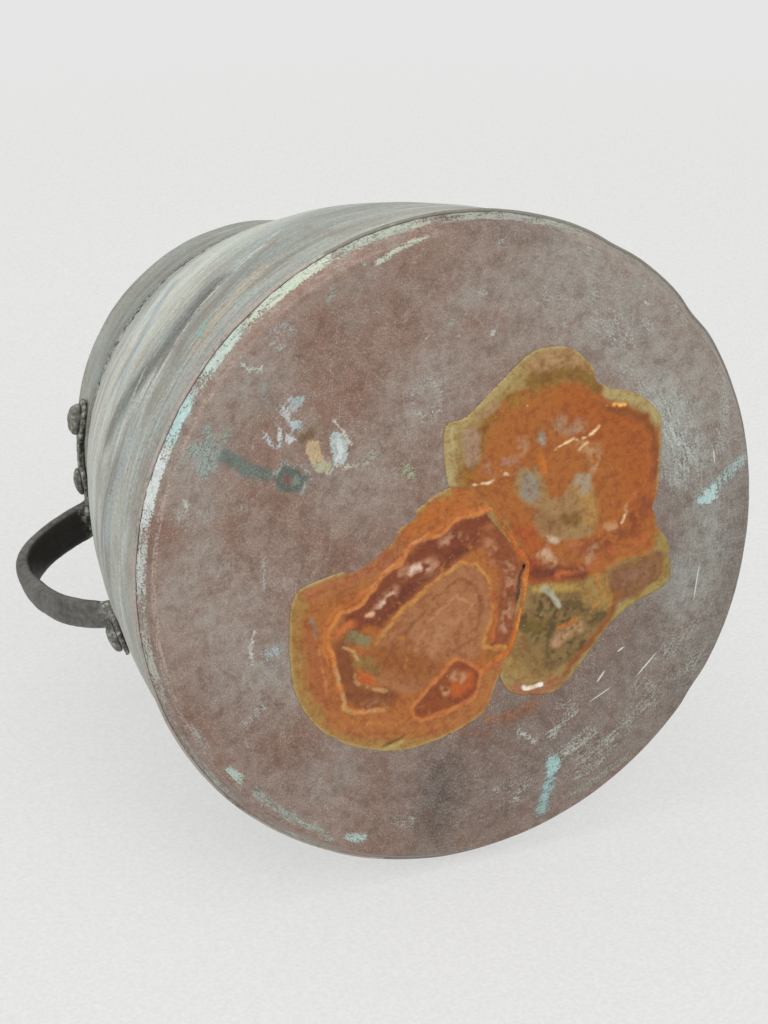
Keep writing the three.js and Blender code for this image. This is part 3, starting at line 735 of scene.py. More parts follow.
# Stains on the base: colour, line in mm, half width, softness, cover.
BASE_STAINS = [
    (HAZE, [(79.5, -75), (78.5, -66), (78.5, -57)], 2.4, 2.2, 0.5),
    ("#b8c0bc", [(78.5, -57), (83.5, -50.5), (85.5, -45)], 5, 4.5, 0.48),
    (HAZE, [(81.5, -37), (87, -31.5), (87, -23)], 4, 3.5, 0.5),
    (HAZE, [(83.5, -87.5), (81.5, -81.5)], 0.9, 0.8, 0.66),
    ("#bac4bd", [(93, -15), (93.5, -6), (94.5, 1), (97, 8), (90, 12)], 7, 6.5, 0.54),
    ("#c6cfc9", [(92.5, -8), (93.5, 2)], 3, 3, 0.62),
    (HAZE, [(98, -62.5)], 2.5, 2, 0.5),
    (HAZE, [(68.5, -73), (62, -76)], 4, 3.5, 0.42),
    (LIME, [(88, -55), (91.5, -50), (96, -47)], 2.2, 2, 0.46),
    (HAZE, [(109.5, -49), (111, -44)], 3, 2.5, 0.52),
    (HAZE, [(117, -17.5), (117.5, -9.5), (111.5, 6), (106.5, 13)], 3, 2.5, 0.48),
    ("#bedcd9", [(97.5, 27.5), (101, 26)], 2.8, 0.9, 1.2),
    ("#a9bcba", [(101, 26), (108, 22.5), (117, 19.5)], 2.2, 1.5, 0.8),
    ("#c0c8bd", [(8.5, 88), (14, 86.5), (20.5, 84.5)], 1.8, 1.6, 0.58),
    (HAZE, [(16.5, 78), (20, 82.5)], 2, 1.8, 0.5),
    ("#c0c8bd", [(10, 98), (17.5, 96), (25.5, 94.5)], 2, 1.8, 0.58),
    ("#b9c1b6", [(16, 102.5), (24, 101.5), (31, 100.5), (37.5, 98)], 2, 1.8, 0.5),
    ("#b9c1b6", [(13, 108.5), (22, 107.5), (31.5, 104)], 1.8, 1.6, 0.52),
    ("#a6b8ab", [(9, 114), (16.5, 114.5), (27, 112.5), (34.5, 112)], 1.6, 1.4, 0.52),
    ("#b3beb4", [(38.5, 97.5), (45.5, 96.5), (52, 95)], 2.2, 2, 0.54),
    (HAZE, [(49, 85.5), (53.5, 90.5), (49.5, 95)], 3, 2.5, 0.42),
    (HAZE, [(64, 91), (70.5, 89.5), (77, 87)], 3, 2.5, 0.42),
    (HAZE, [(62.5, 80), (70, 77.5), (77, 73.5)], 2.6, 2.4, 0.46),
    ("#b3b9ae", [(-18.5, 97.5), (-12, 99.5), (-6, 101)], 1.8, 1.6, 0.52),
    ("#b9beb2", [(-14, 104), (-11, 104)], 1.2, 1, 0.62),
    ("#a9cdca", [(7, 98), (4.5, 101.5)], 2.6, 1.3, 1.0),
    ("#98bab8", [(4, 102.5), (-1.5, 109.5), (-5, 114)], 2.2, 1.7, 0.8),
    ("#c3cbc4", [(-2, 80), (-0.5, 83), (2.5, 86.5)], 1.1, 0.8, 0.72),
    ("#9fb0a9", [(-81, -82.5), (-76, -81), (-79.5, -74)], 4.5, 3.8, 0.7),
    ("#97aba2", [(-74, -87.5), (-75, -81), (-67, -82.5)], 2.4, 2, 0.66),
    ("#697d75", [(-71.5, -76), (-68.5, -72), (-65, -66.5), (-59.5, -62)], 3.4, 2.6, 0.74),
    ("#7c958b", [(-52, -56), (-50, -55)], 3, 2, 0.62),
    ("#566f68", [(-56, -58.5), (-52.5, -60), (-48.5, -57), (-47, -53.5), (-50, -51.5), (-54, -53),
        (-56, -56)], 1.7, 1.4, 0.78),
    ("#a6bdb5", [(-58, -60), (-52, -62.5), (-46, -58), (-45, -52), (-50, -49.5)], 0.9, 0.8, 0.56),
    ("#85595b", [(-52.5, -57), (-53, -55)], 1.5, 0.9, 0.8),
    ("#8a9994", [(-48.5, -93.5), (-50, -89.5), (-51, -85)], 2.4, 2, 0.5),
    ("#85938d", [(-47.5, -84.5), (-50, -78.5)], 1.8, 1.6, 0.52),
    ("#97695a", [(-65, -75), (-59, -69.5), (-55.5, -66)], 4, 3.5, 0.4),
    ("#97695a", [(-76, -68.5), (-68, -64)], 4, 3.5, 0.38),
    ("#8f6a50", [(-33.5, -83.5), (-30, -72)], 5, 4.5, 0.42),
    ("#b4bebd", [(-43.5, -84), (-41, -84.5), (-36.5, -82.5), (-36.5, -80.5), (-41, -77), (-42.5, -78.5),
        (-43.5, -84)], 0, 0.9, 0.98),
    ("#c6c9c6", [(-45.5, -82), (-43, -82), (-43.5, -76), (-46, -76), (-47, -79), (-45.5, -82)], 0, 1, 0.85),
    ("#bccac8", [(-44.5, -76), (-41.5, -75.5), (-39.5, -72.5), (-41.5, -71), (-45, -73),
        (-44.5, -76)], 0, 0.9, 0.95),
    ("#c3cacc", [(-54, -78), (-54.5, -74.5), (-53.5, -70), (-50.5, -68.5)], 0.8, 0.7, 0.85),
    ("#d0d4d5", [(-49.5, -75), (-50.5, -70)], 0.8, 0.6, 0.95),
    ("#d3d7d7", [(-47.5, -72.5), (-45, -71.5), (-44.5, -69), (-47.5, -68.5), (-49, -70),
        (-47.5, -72.5)], 0, 0.7, 1),
    ("#cbb18a", [(-41.5, -65), (-39.5, -65.5), (-37, -64), (-37, -62), (-37.5, -57.5), (-41.5, -57.5),
        (-42.5, -60), (-43, -63.5), (-41.5, -65)], 0, 0.6, 1.1),
    ("#bab695", [(-43, -59), (-40.5, -57), (-37.5, -57.5), (-35, -54.5), (-37, -52), (-40.5, -52),
        (-42.5, -55.5), (-43, -59)], 0, 0.6, 1.12),
    ("#bfcbc8", [(-32.5, -64), (-29.5, -64.5), (-27.5, -60.5), (-28, -56), (-30, -52), (-33.5, -51.5),
        (-35, -52.5), (-34, -57.5), (-32.5, -64)], 0, 1, 0.95),
    ("#e2e8e6", [(-30, -60.5), (-30.5, -56.5), (-32.5, -54.5)], 1.3, 0.9, 1.15),
    ("#d5d0c2", [(-28.5, -68.5), (-27.5, -63), (-26, -57)], 0.6, 0.5, 0.9),
    ("#c6c3b3", [(-37.5, -51), (-34.5, -52), (-29.5, -49.5), (-22.5, -48.5)], 0.8, 0.6, 0.75),
    ("#aeb39c", [(-22.5, -52), (-18, -53), (-17, -50.5), (-20, -47.5), (-23.5, -48.5),
        (-22.5, -52)], 0, 1.3, 0.66),
    ("#a9b392", [(-11, -42), (-7.5, -42), (-7, -35), (-6.5, -31.5), (-11.5, -35), (-13, -38.5), (-11, -42)],
        0, 1.3, 0.66),
    ("#8d8a62", [(-37, -70.5), (-35.5, -69)], 2, 1.5, 0.6),
    ("#77593a", [(-39.5, -67.5), (-42.5, -68)], 2.4, 1.6, 0.7),
    ("#dde0d8", [(-61, -75)], 0.9, 0.5, 1),
    ("#a8683c", [(-12, 69), (-4, 73), (6, 73)], 3, 2.6, 0.58),
    ("#a8683c", [(10, 71), (18, 70)], 2, 1.8, 0.5),
    ("#9a5f3c", [(-24, 68), (-14, 74)], 2.4, 2.2, 0.45),
    ("#c8cdc0", [(-90.5, -67.5), (-90.5, -64.5)], 0.9, 0.7, 0.85),
    ("#c6cabf", [(-72, -54.5)], 0.8, 0.7, 0.75),
    (HAZE, [(-93.5, -62.5), (-86.5, -59), (-92, -58)], 3.4, 3, 0.45),
    ("#ced6c2", [(5, -116), (11.5, -117), (18, -117), (25.5, -116.5)], 1.1, 0.8, 0.82),
    ("#c2cbb6", [(0, -118)], 0.8, 0.6, 0.9),
    ("#a7b0a8", [(-16, -111), (-14, -114)], 2.4, 2, 0.56),
    ("#b3aeab", [(-40, -110), (-35, -111.5), (-33, -107)], 1.8, 1.6, 0.6),
    ("#b3b7ae", [(-41, -106), (-38, -103)], 1.5, 1.2, 0.66),
    ("#c3cbbf", [(-54, -104), (-52, -101), (-48, -100)], 0.9, 0.6, 0.85),
    ("#cbc8c0", [(38, -72)], 1.4, 0.6, 0.95),
    ("#b9bcb4", [(14, -82)], 1, 0.8, 0.75),
    ("#b9bcb4", [(25, -77)], 0.9, 0.7, 0.8),
    ("#9fb0a6", [(24, -83)], 1.3, 1, 0.7),
    ("#b9bcb4", [(36, -88), (41, -87)], 0.7, 0.6, 0.75),
    ("#b5b9b8", [(51, -103)], 2.2, 1.8, 0.62),
    ("#c6ccc4", [(0, -61), (3, -66), (9, -66), (12, -60), (9, -54), (3, -54), (0, -58)], 1.4, 1.3, 0.5),
    ("#aeb3ab", [(65.5, -62.5)], 1.9, 1.6, 0.6),
    ("#b5ada2", [(92, -69)], 1.3, 0.7, 0.85),
    ("#d0d0c8", [(95.5, -57), (98, -56)], 0.7, 0.5, 0.85),
    ("#b5b9b0", [(-72, -32), (-75, -22)], 0.9, 0.8, 0.66),
    ("#d0d2ca", [(-84, -9), (-88, -3), (-89, 3)], 0.8, 0.7, 0.74),
    ("#aebbbb", [(-82, 2), (-78, 2)], 2.8, 2.2, 0.66),
    ("#aab0a9", [(-84, 9)], 2.2, 1.8, 0.52),
    ("#b4bab2", [(-91, 20), (-99, 22)], 1.7, 1.5, 0.58),
    ("#a9aea5", [(-101, 29)], 2.4, 2, 0.48),
    ("#b9cabd", [(-111, 35), (-109, 41)], 1.8, 1.2, 0.8),
    ("#b0b6aa", [(-119, 12), (-116, 23)], 1.5, 1.2, 0.58),
    ("#a9bab0", [(-105, 49), (-101, 58), (-96, 66)], 2.4, 2, 0.6),
    ("#a9bdb2", [(-96, 66), (-90, 73), (-86, 81)], 1.7, 1.5, 0.58),
    ("#bcd3ce", [(-79, 84), (-74, 87)], 1.7, 1.2, 0.76),
    ("#b3b9ae", [(-60, 88), (-54, 91)], 1.6, 1.4, 0.58),
    ("#c9cabf", [(-119, -22), (-120, -4)], 0.9, 0.8, 0.6),
]
# Smooth darker areas of the base: line in mm, half width, softness, depth.
BASE_SHADES = [
    ([(-36, 80), (-41, 89), (-46, 97)], 8, 7, 0.28),
    ([(-52, -56), (-45, -52)], 5, 4, 0.12),
    ([(40, -118), (70, -98)], 6, 5, 0.2),
    ([(60, 100), (95, 72), (114, 36)], 8, 7, 0.14),
    ([(-20, 102), (36, 106)], 12, 10, 0.1),
    ([(-106, 8), (-90, 52)], 14, 12, 0.1),
    ([(-40, 88), (10, 78), (60, 72), (95, 34)], 34, 28, 0.2),
]
# A painted highlight along the crease at the base's corner, strongest towards azimuth 200°: colour, radius,
# half width, cover.
CREASE = ("#bca496", 119.9, 0.75, 0.7)


def crust_at(azimuth):
    """Cover and colour of the crust in the groove at one side of the pot."""
    best = (0.0, CRUST[0][3])
    for at, wide, cover, code in CRUST:
        turn = (math.degrees(azimuth) - at + 180) % 360 - 180
        best = max(best, (cover * math.exp(-((turn / wide) ** 2)), code))
    return best


def make_pan(material):
    """The let-in base: hollowed middle, resting ring, leaning flank with a crust, lap inside the wall."""
    lap_r = radius_at(beside(WALL_FACE, -WALL_SHEET), PAN_LAP_Z) - FIT
    under = spaced([(0, BASE_Z), (93, BASE_Z)], 1)
    foot = [(96, 1.72), (99, 1.45), (102, 1.05), (105, 0.6), (107.5, 0.25), (110, 0.05)]
    foot += spaced([(111, 0), (118.4, 0)], 1)
    corner = [(119.1, 0.08), (119.7, 0.3), (120.15, 0.7), (120.4, 1.2)]
    # The flank leans out and nearly closes the groove under the wall's lip.
    flank = spaced([(120.5, 1.6), (123.7, 7.8)], 0.6)
    flank += [(123.8, 8.1), (123.4, 8.3), (122.6, 8.6), (122.2, 9.2), (121.3, 10.5), (121.2, 12.5)]
    inside = [(lap_r, PAN_LAP_Z), (lap_r - PAN_SHEET, PAN_LAP_Z), (119.2, 12.5), (119, 5), (118.2, 2.8)]
    inside += [(116.5, 2.05), (110, 2.05), (101, 3.2)]
    inside += spaced([(93, BASE_Z + PAN_SHEET), (0, BASE_Z + PAN_SHEET)], 9)
    bm = turned(under + foot + corner + flank + inside, closed=False)
    paint(bm, np.array([v.co.xy for v in bm.verts]) / MM, BASE_STAINS, BASE_SHADES, HAZE, BASE_VEILS)
    stain_and_light = bm.verts.layers.float_color["stain_and_light"]
    code, crease_r, half, cover = CREASE
    for v in bm.verts:
        z = v.co.z / MM
        r = math.hypot(v.co.x, v.co.y) / MM
        if z < 11 and r > 118:
            azimuth = math.atan2(v.co.y, v.co.x)
            much, salts = crust_at(azimuth)
            climb = float(ease(z, 3, 5))
            if climb > 0:
                v[stain_and_light] = (*colour(salts)[:3], much * climb)
                lump = max(0.0, noise.noise(v.co / (2.3 * MM)) + 0.3)
                grow = 1 + 0.7 * max(0.0, much - 0.3) * climb * lump / r
                v.co.x *= grow
                v.co.y *= grow
            # The crease's painted highlight, strongest towards azimuth 200°.
            elif abs(r - crease_r) < half:
                side = max(0.0, math.cos(azimuth - math.radians(200))) ** 2
                v[stain_and_light] = (*colour(code)[:3], max(cover * side, v[stain_and_light][3]))
        # The base was beaten flat by hand and has long shallow waves.
        wave = 0.5 * noise.noise(v.co / (46 * MM))
        wave += 0.16 * noise.noise(v.co / (15 * MM) + Vector((4, 4, 4)))
        v.co.z += MM * wave * max(0.0, min(1.0, (104 - r) / 12))
    beat(bm)
    return keep(bm, "copper_base_pan", material, "copper_base", "base_pan")


# Stains and shades of the neck band, laid out as those of the wall.
NECK_STAINS = [
    ("#b4b3a7", [(150, 178), (210, 178)], 15, 7, 0.56),
    ("#b4b3a7", [(0, 178), (30, 178)], 15, 7, 0.5),
    ("#b4b3a7", [(330, 178), (360, 178)], 15, 7, 0.5),
    ("#8f8d84", [(180, 178), (250, 176), (300, 178)], 6, 5, 0.4),
    ("#b2b3a6", [(190, 196), (240, 195), (290, 196)], 3, 3, 0.45),
]
# Painted shadow along the seam, just above the wall's edge, with some soot.
NECK_SHADES = [([(0, 161), (360, 161)], 6, 5, 0.36)]


def make_neck(material):
    """The neck band, from its tuck inside the wall to the plain rim."""
    back = beside(NECK_FACE, -NECK_SHEET)
    rim = [(81.5, 203.2), (81.1, 203.55), (80.6, 203.6), (80.2, 203.3)]
    outline = [(91.6, 149.2), (90.2, 156.9), (90.1, 158.0), (90.6, 158.2)] + NECK_FACE + rim
    outline += back[::-2] + [(88.3, 157.4), (89.8, 149)]
    bm = turned(outline)
    paint(bm, unrolled(bm), laid_out(NECK_STAINS, 1), laid_out(NECK_SHADES, 0), "#9a9a90")
    beat(bm)
    return keep(bm, "copper_neck_band", material, "copper_neck", "neck_band")


def seat(face, z, degrees):
    """A point on the pot's outside and the way it faces, as a matrix with Z outwards."""
    r = radius_at(face, z)
    slope = (radius_at(face, z + 1) - radius_at(face, z - 1)) / 2
    turn = math.radians(degrees)
    facing = Vector((math.cos(turn), math.sin(turn), -slope)).normalized()
    place = Vector((r * math.cos(turn), r * math.sin(turn), z)) * MM
    return Matrix.Translation(place) @ facing.to_track_quat("Z", "Y").to_matrix().to_4x4()


def make_rivet(name, where, r, h, sheet, material, rough):
    """One rivet: hammered tail inside, shank, and a domed head that was beaten out of round."""
    under = -(sheet + 2 * FIT)
    low = FOOT_T + FIT
    dome = []
    for i in range(11):
        angle = i / 10 * math.pi / 2
        dome.append((r * math.cos(angle) ** 0.9, low + h * (0.16 + 0.84 * math.sin(angle) ** 1.1)))
    dome[-1] = (0, low + h)
    outline = [(0, under - 1.3), (2.2, under - 1.25), (3.5, under - 1.0), (4.2, under - 0.3), (4.1, under)]
    outline += [(2.4, under), (2.4, low - 0.4), (r - 0.5, low - 0.3), (r, low + 0.1)] + dome
    bm = turned(outline, RIVET_STEPS, closed=False)
    lime = bm.verts.layers.float.new("lime")
    for v in bm.verts:
        v[lime] = 0.62
        if v.co.z > 0:
            p = v.co / MM
            lump = noise.noise(p / 4.2 + Vector((r * 7, h * 3, rough * 9)))
            pit = noise.noise(p / 1.5 + Vector((h * 5, r * 2, rough * 4)))
            v.co += v.co.normalized() * MM * (0.45 * lump - rough * max(0.0, pit))
    bmesh.ops.transform(bm, matrix=where, verts=bm.verts)
    return keep(bm, name, material, "iron", name_of_solid(name))


def name_of_solid(name):
    """The CAD node that an iron piece stands for."""
    return name.replace("iron_", "")


def plate(bm, outline_test, size, wrap):
    """A forged foot: a flat blank cut to its outline, thickened, and laid on the pot by wrap."""
    (x0, y0), (x1, y1) = size
    blank = bmesh.new()
    bmesh.ops.create_grid(blank, x_segments=int(x1 - x0), y_segments=int(y1 - y0), size=0.5)
    for v in blank.verts:
        v.co.x = x0 + (x1 - x0) * (v.co.x + 0.5)
        v.co.y = y0 + (y1 - y0) * (v.co.y + 0.5)
    spare = [f for f in blank.faces if not outline_test(*f.calc_center_median().xy)]
    bmesh.ops.delete(blank, geom=spare, context="FACES")
    rim = [v for v in blank.verts if v.is_boundary]
    bmesh.ops.smooth_vert(blank, verts=rim, factor=0.5, use_axis_x=True, use_axis_y=True)
    grown = bmesh.ops.extrude_face_region(blank, geom=blank.faces[:])
    for v in [g for g in grown["geom"] if isinstance(g, bmesh.types.BMVert)]:
        v.co.z = FOOT_T
    for v in blank.verts:
        v.co = Vector(wrap(v.co.x, v.co.y, v.co.z)) * MM
    bmesh.ops.recalc_face_normals(blank, faces=blank.faces)
    part = bpy.data.meshes.new("foot_blank")
    blank.to_mesh(part)
    blank.free()
    bm.from_mesh(part)
    bpy.data.meshes.remove(part)


# Middle line of the strap, from the neck down to the wall: radius and height in mm.
STRAP_LINE = [
    (84, 179.5), (97, 178), (110, 173.5), (119, 167.5), (125.5, 158), (128.5, 146), (128.8, 134),
    (127.5, 120), (124.5, 107), (119, 95), (111, 83.5), (106, 77.5),
]
# The strap tapers from its neck end to the wall, and in width only after its first quarter.
STRAP_WIDE = 15
STRAP_NARROWED = 4.5
STRAP_THICK = 7.2
STRAP_THINNED = 1.2
STRAP_SECTIONS = 60
STRAP_CORNERS = 32


def strap_places(count):
    """Places along the strap with the way it runs, smooth through the middle line."""
    points = [Vector((r, 0, z)) for r, z in STRAP_LINE]
    places = []
    last = len(points) - 1
    for i in range(count + 1):
        s = i / count * last
        k = min(int(s), last - 1)
        t = s - k
        p0, p1, p2, p3 = points[max(k - 1, 0)], points[k], points[k + 1], points[min(k + 2, last)]
        m1, m2 = (p2 - p0) / 2, (p3 - p1) / 2
        place = (2 * t**3 - 3 * t**2 + 1) * p1 + (t**3 - 2 * t**2 + t) * m1
        place += (3 * t**2 - 2 * t**3) * p2 + (t**3 - t**2) * m2
        way = (6 * t**2 - 6 * t) * (p1 - p2) + (3 * t**2 - 4 * t + 1) * m1 + (3 * t**2 - 2 * t) * m2
        places.append((place, way.normalized(), i / count))
    return places


def make_handle(name, half_turn, material):
    """One ear: strap drawn down from the neck to a tongue on the wall, welded to a cross foot."""
    bm = bmesh.new()
    ring = None
    before = None
    for place, way, share in strap_places(STRAP_SECTIONS):
        wide = STRAP_WIDE - STRAP_NARROWED * max(0.0, share - 0.25) / 0.75
        thick = STRAP_THICK - STRAP_THINNED * share
        out = Vector((way.z, 0, -way.x)) * -1
        here = Matrix((
            (0, out.x * thick / 2, way.x, place.x),
            (wide / 2, out.y * thick / 2, way.y, place.y),
            (0, out.z * thick / 2, way.z, place.z),
            (0, 0, 0, 1),
        ))
        here = Matrix.Scale(MM, 4) @ here
        if ring is None:
            made = bmesh.ops.create_circle(bm, cap_ends=True, radius=1, segments=STRAP_CORNERS)
            for v in made["verts"]:
                v.co.x = math.copysign(abs(v.co.x) ** 0.62, v.co.x)
                v.co.y = math.copysign(abs(v.co.y) ** 0.62, v.co.y)
            bmesh.ops.transform(bm, matrix=here, verts=made["verts"])
            ring = bm.edges[:]
        else:
            grown = bmesh.ops.extrude_edge_only(bm, edges=ring)["geom"]
            ring = [g for g in grown if isinstance(g, bmesh.types.BMEdge) and g.is_boundary]
            points = list({v for e in ring for v in e.verts})
            bmesh.ops.transform(bm, matrix=here @ before.inverted(), verts=points)
        before = here
    bmesh.ops.holes_fill(bm, edges=bm.edges, sides=0)
    bmesh.ops.recalc_face_normals(bm, faces=bm.faces)

    neck_r = radius_at(NECK_FACE, GRIP_TOP_Z)
    outer = math.radians(OUTER_RIVET_DEG) * neck_r
    inner = math.radians(INNER_RIVET_DEG) * neck_r

    def cross(x, y):
        """Whether a point lies on the cross foot: a lobe at each rivet, joined by a bar."""
        near_hole = min(math.hypot(abs(x) - outer, y), math.hypot(abs(x) - inner, y))
        return near_hole < LOBE_R or (abs(x) < outer and abs(y) < 4.5) or (abs(x) < inner and abs(y) < 7.6)

    def round_neck(x, y, height):
        """A point of the flat cross foot laid round the neck."""
        r = radius_at(NECK_FACE, GRIP_TOP_Z + y) + FOOT_GAP + height
        return (r * math.cos(x / neck_r), r * math.sin(x / neck_r), GRIP_TOP_Z + y)

    def tongue(x, y):
        """Whether a point lies on the tongue: a lobe at its rivet and a stem."""
        return math.hypot(x, y) < LOBE_R or (abs(x) < 5.6 and 0 <= y < 17)

    wall_r = radius_at(WALL_FACE, TONGUE_RIVET_Z)

    def down_wall(x, y, height):
        """A point of the flat tongue laid down the wall."""
        r = radius_at(WALL_FACE, TONGUE_RIVET_Z + y) + FOOT_GAP + height
        return (r * math.cos(x / wall_r), r * math.sin(x / wall_r), TONGUE_RIVET_Z + y)

    plate(bm, cross, ((-52, -10), (52, 10)), round_neck)
    plate(bm, tongue, ((-10, -10), (10, 18)), down_wall)

    # Welded in the fire: one skin round strap and feet.
    rough = bpy.data.meshes.new("handle_rough")
    bm.to_mesh(rough)
    bm.free()
    blank = bpy.data.objects.new("handle_blank", rough)
    bpy.context.scene.collection.objects.link(blank)
    weld = blank.modifiers.new("weld", "REMESH")
    weld.mode = "VOXEL"
    weld.voxel_size = WELD_GRID * MM
    welded = bpy.data.meshes.new_from_object(blank.evaluated_get(bpy.context.evaluated_depsgraph_get()))
    bm = bmesh.new()
    bm.from_mesh(welded)
    bpy.data.objects.remove(blank)
    bpy.data.meshes.remove(rough)
    bpy.data.meshes.remove(welded)
    for _ in range(2):
        bmesh.ops.smooth_vert(
            bm, verts=bm.verts, factor=0.5, use_axis_x=True, use_axis_y=True, use_axis_z=True,
        )
    bmesh.ops.rotate(bm, cent=(0, 0, 0), matrix=Matrix.Rotation(half_turn, 3, "Z"), verts=bm.verts)
    bm.normal_update()
    grip_middle = Matrix.Rotation(half_turn, 3, "Z") @ Vector((104, 0, 130))
    # Painted shade, with some soot, on the faces that look into the grip.
    soot_and_shade = bm.verts.layers.float.new("soot_and_shade")
    lime = bm.verts.layers.float.new("lime")
    for v in bm.verts:
        p = v.co / MM
        r = math.hypot(p.x, p.y)
        inward = v.normal.dot((grip_middle - p).normalized())
        v[soot_and_shade] = 0.9 * float(ease(inward, 0.25, 0.7))
        off = r - radius_at(WALL_FACE + NECK_FACE, p.z)
        foot = 1.0 if off < 6 else 0.35
        v[lime] = 1 - float(ease(off, 3.5, 8))
        blow = noise.noise(p / 11 + Vector((2, 2, 2)))
        pit = noise.noise(p / 2.1)
        v.co += v.normal * MM * (0.3 * blow - 0.55 * foot * max(0.0, pit))
    return keep(bm, name, material, "iron", name_of_solid(name))


# The two pours meet along this ridge.
RIDGE = [
    (8, -24), (14, -17.5), (16.5, -7), (20.5, 5), (23.5, 15.5), (19, 26), (14.5, 33), (8.5, 43), (1.5, 50),
]
LARGE_EDGE = [
    (3, -27), (8.5, -46.5), (18, -47), (31, -52), (48, -58), (57, -57), (65, -52.5), (70.5, -42.5),
    (73, -33), (83.5, -25), (89.5, -15), (89.5, -8), (83.5, 8.5), (76, 26), (78, 36.5), (76, 47),
    (71, 53), (50, 55), (21, 70.5), (9, 69), (-1, 62),
]
# The large pour runs on a little past the ridge.
POUR_OVERLAP = 3
LARGE_EDGE += [(x - POUR_OVERLAP, y) for x, y in RIDGE[::-1]]
SMALL_EDGE = RIDGE + [
    (-5, 57), (-13, 65), (-29, 66.5), (-45, 64), (-57, 58), (-69, 47.5), (-76, 35), (-78, 21.5),
    (-76, 10.5), (-72, -2), (-65, -14.5), (-52, -15), (-40, -13.5), (-24, -17.5), (-7, -24),
]
# Edge of a small pool inside the small pour.
POOL_EDGE = [
    (-38.5, 48), (-32.5, 45), (-18.5, 39.5), (-13.5, 41.5), (-10, 49), (-13, 55.5), (-17.5, 57.5),
    (-29, 56.5), (-36, 55.5), (-39.5, 52), (-38.5, 48),
]

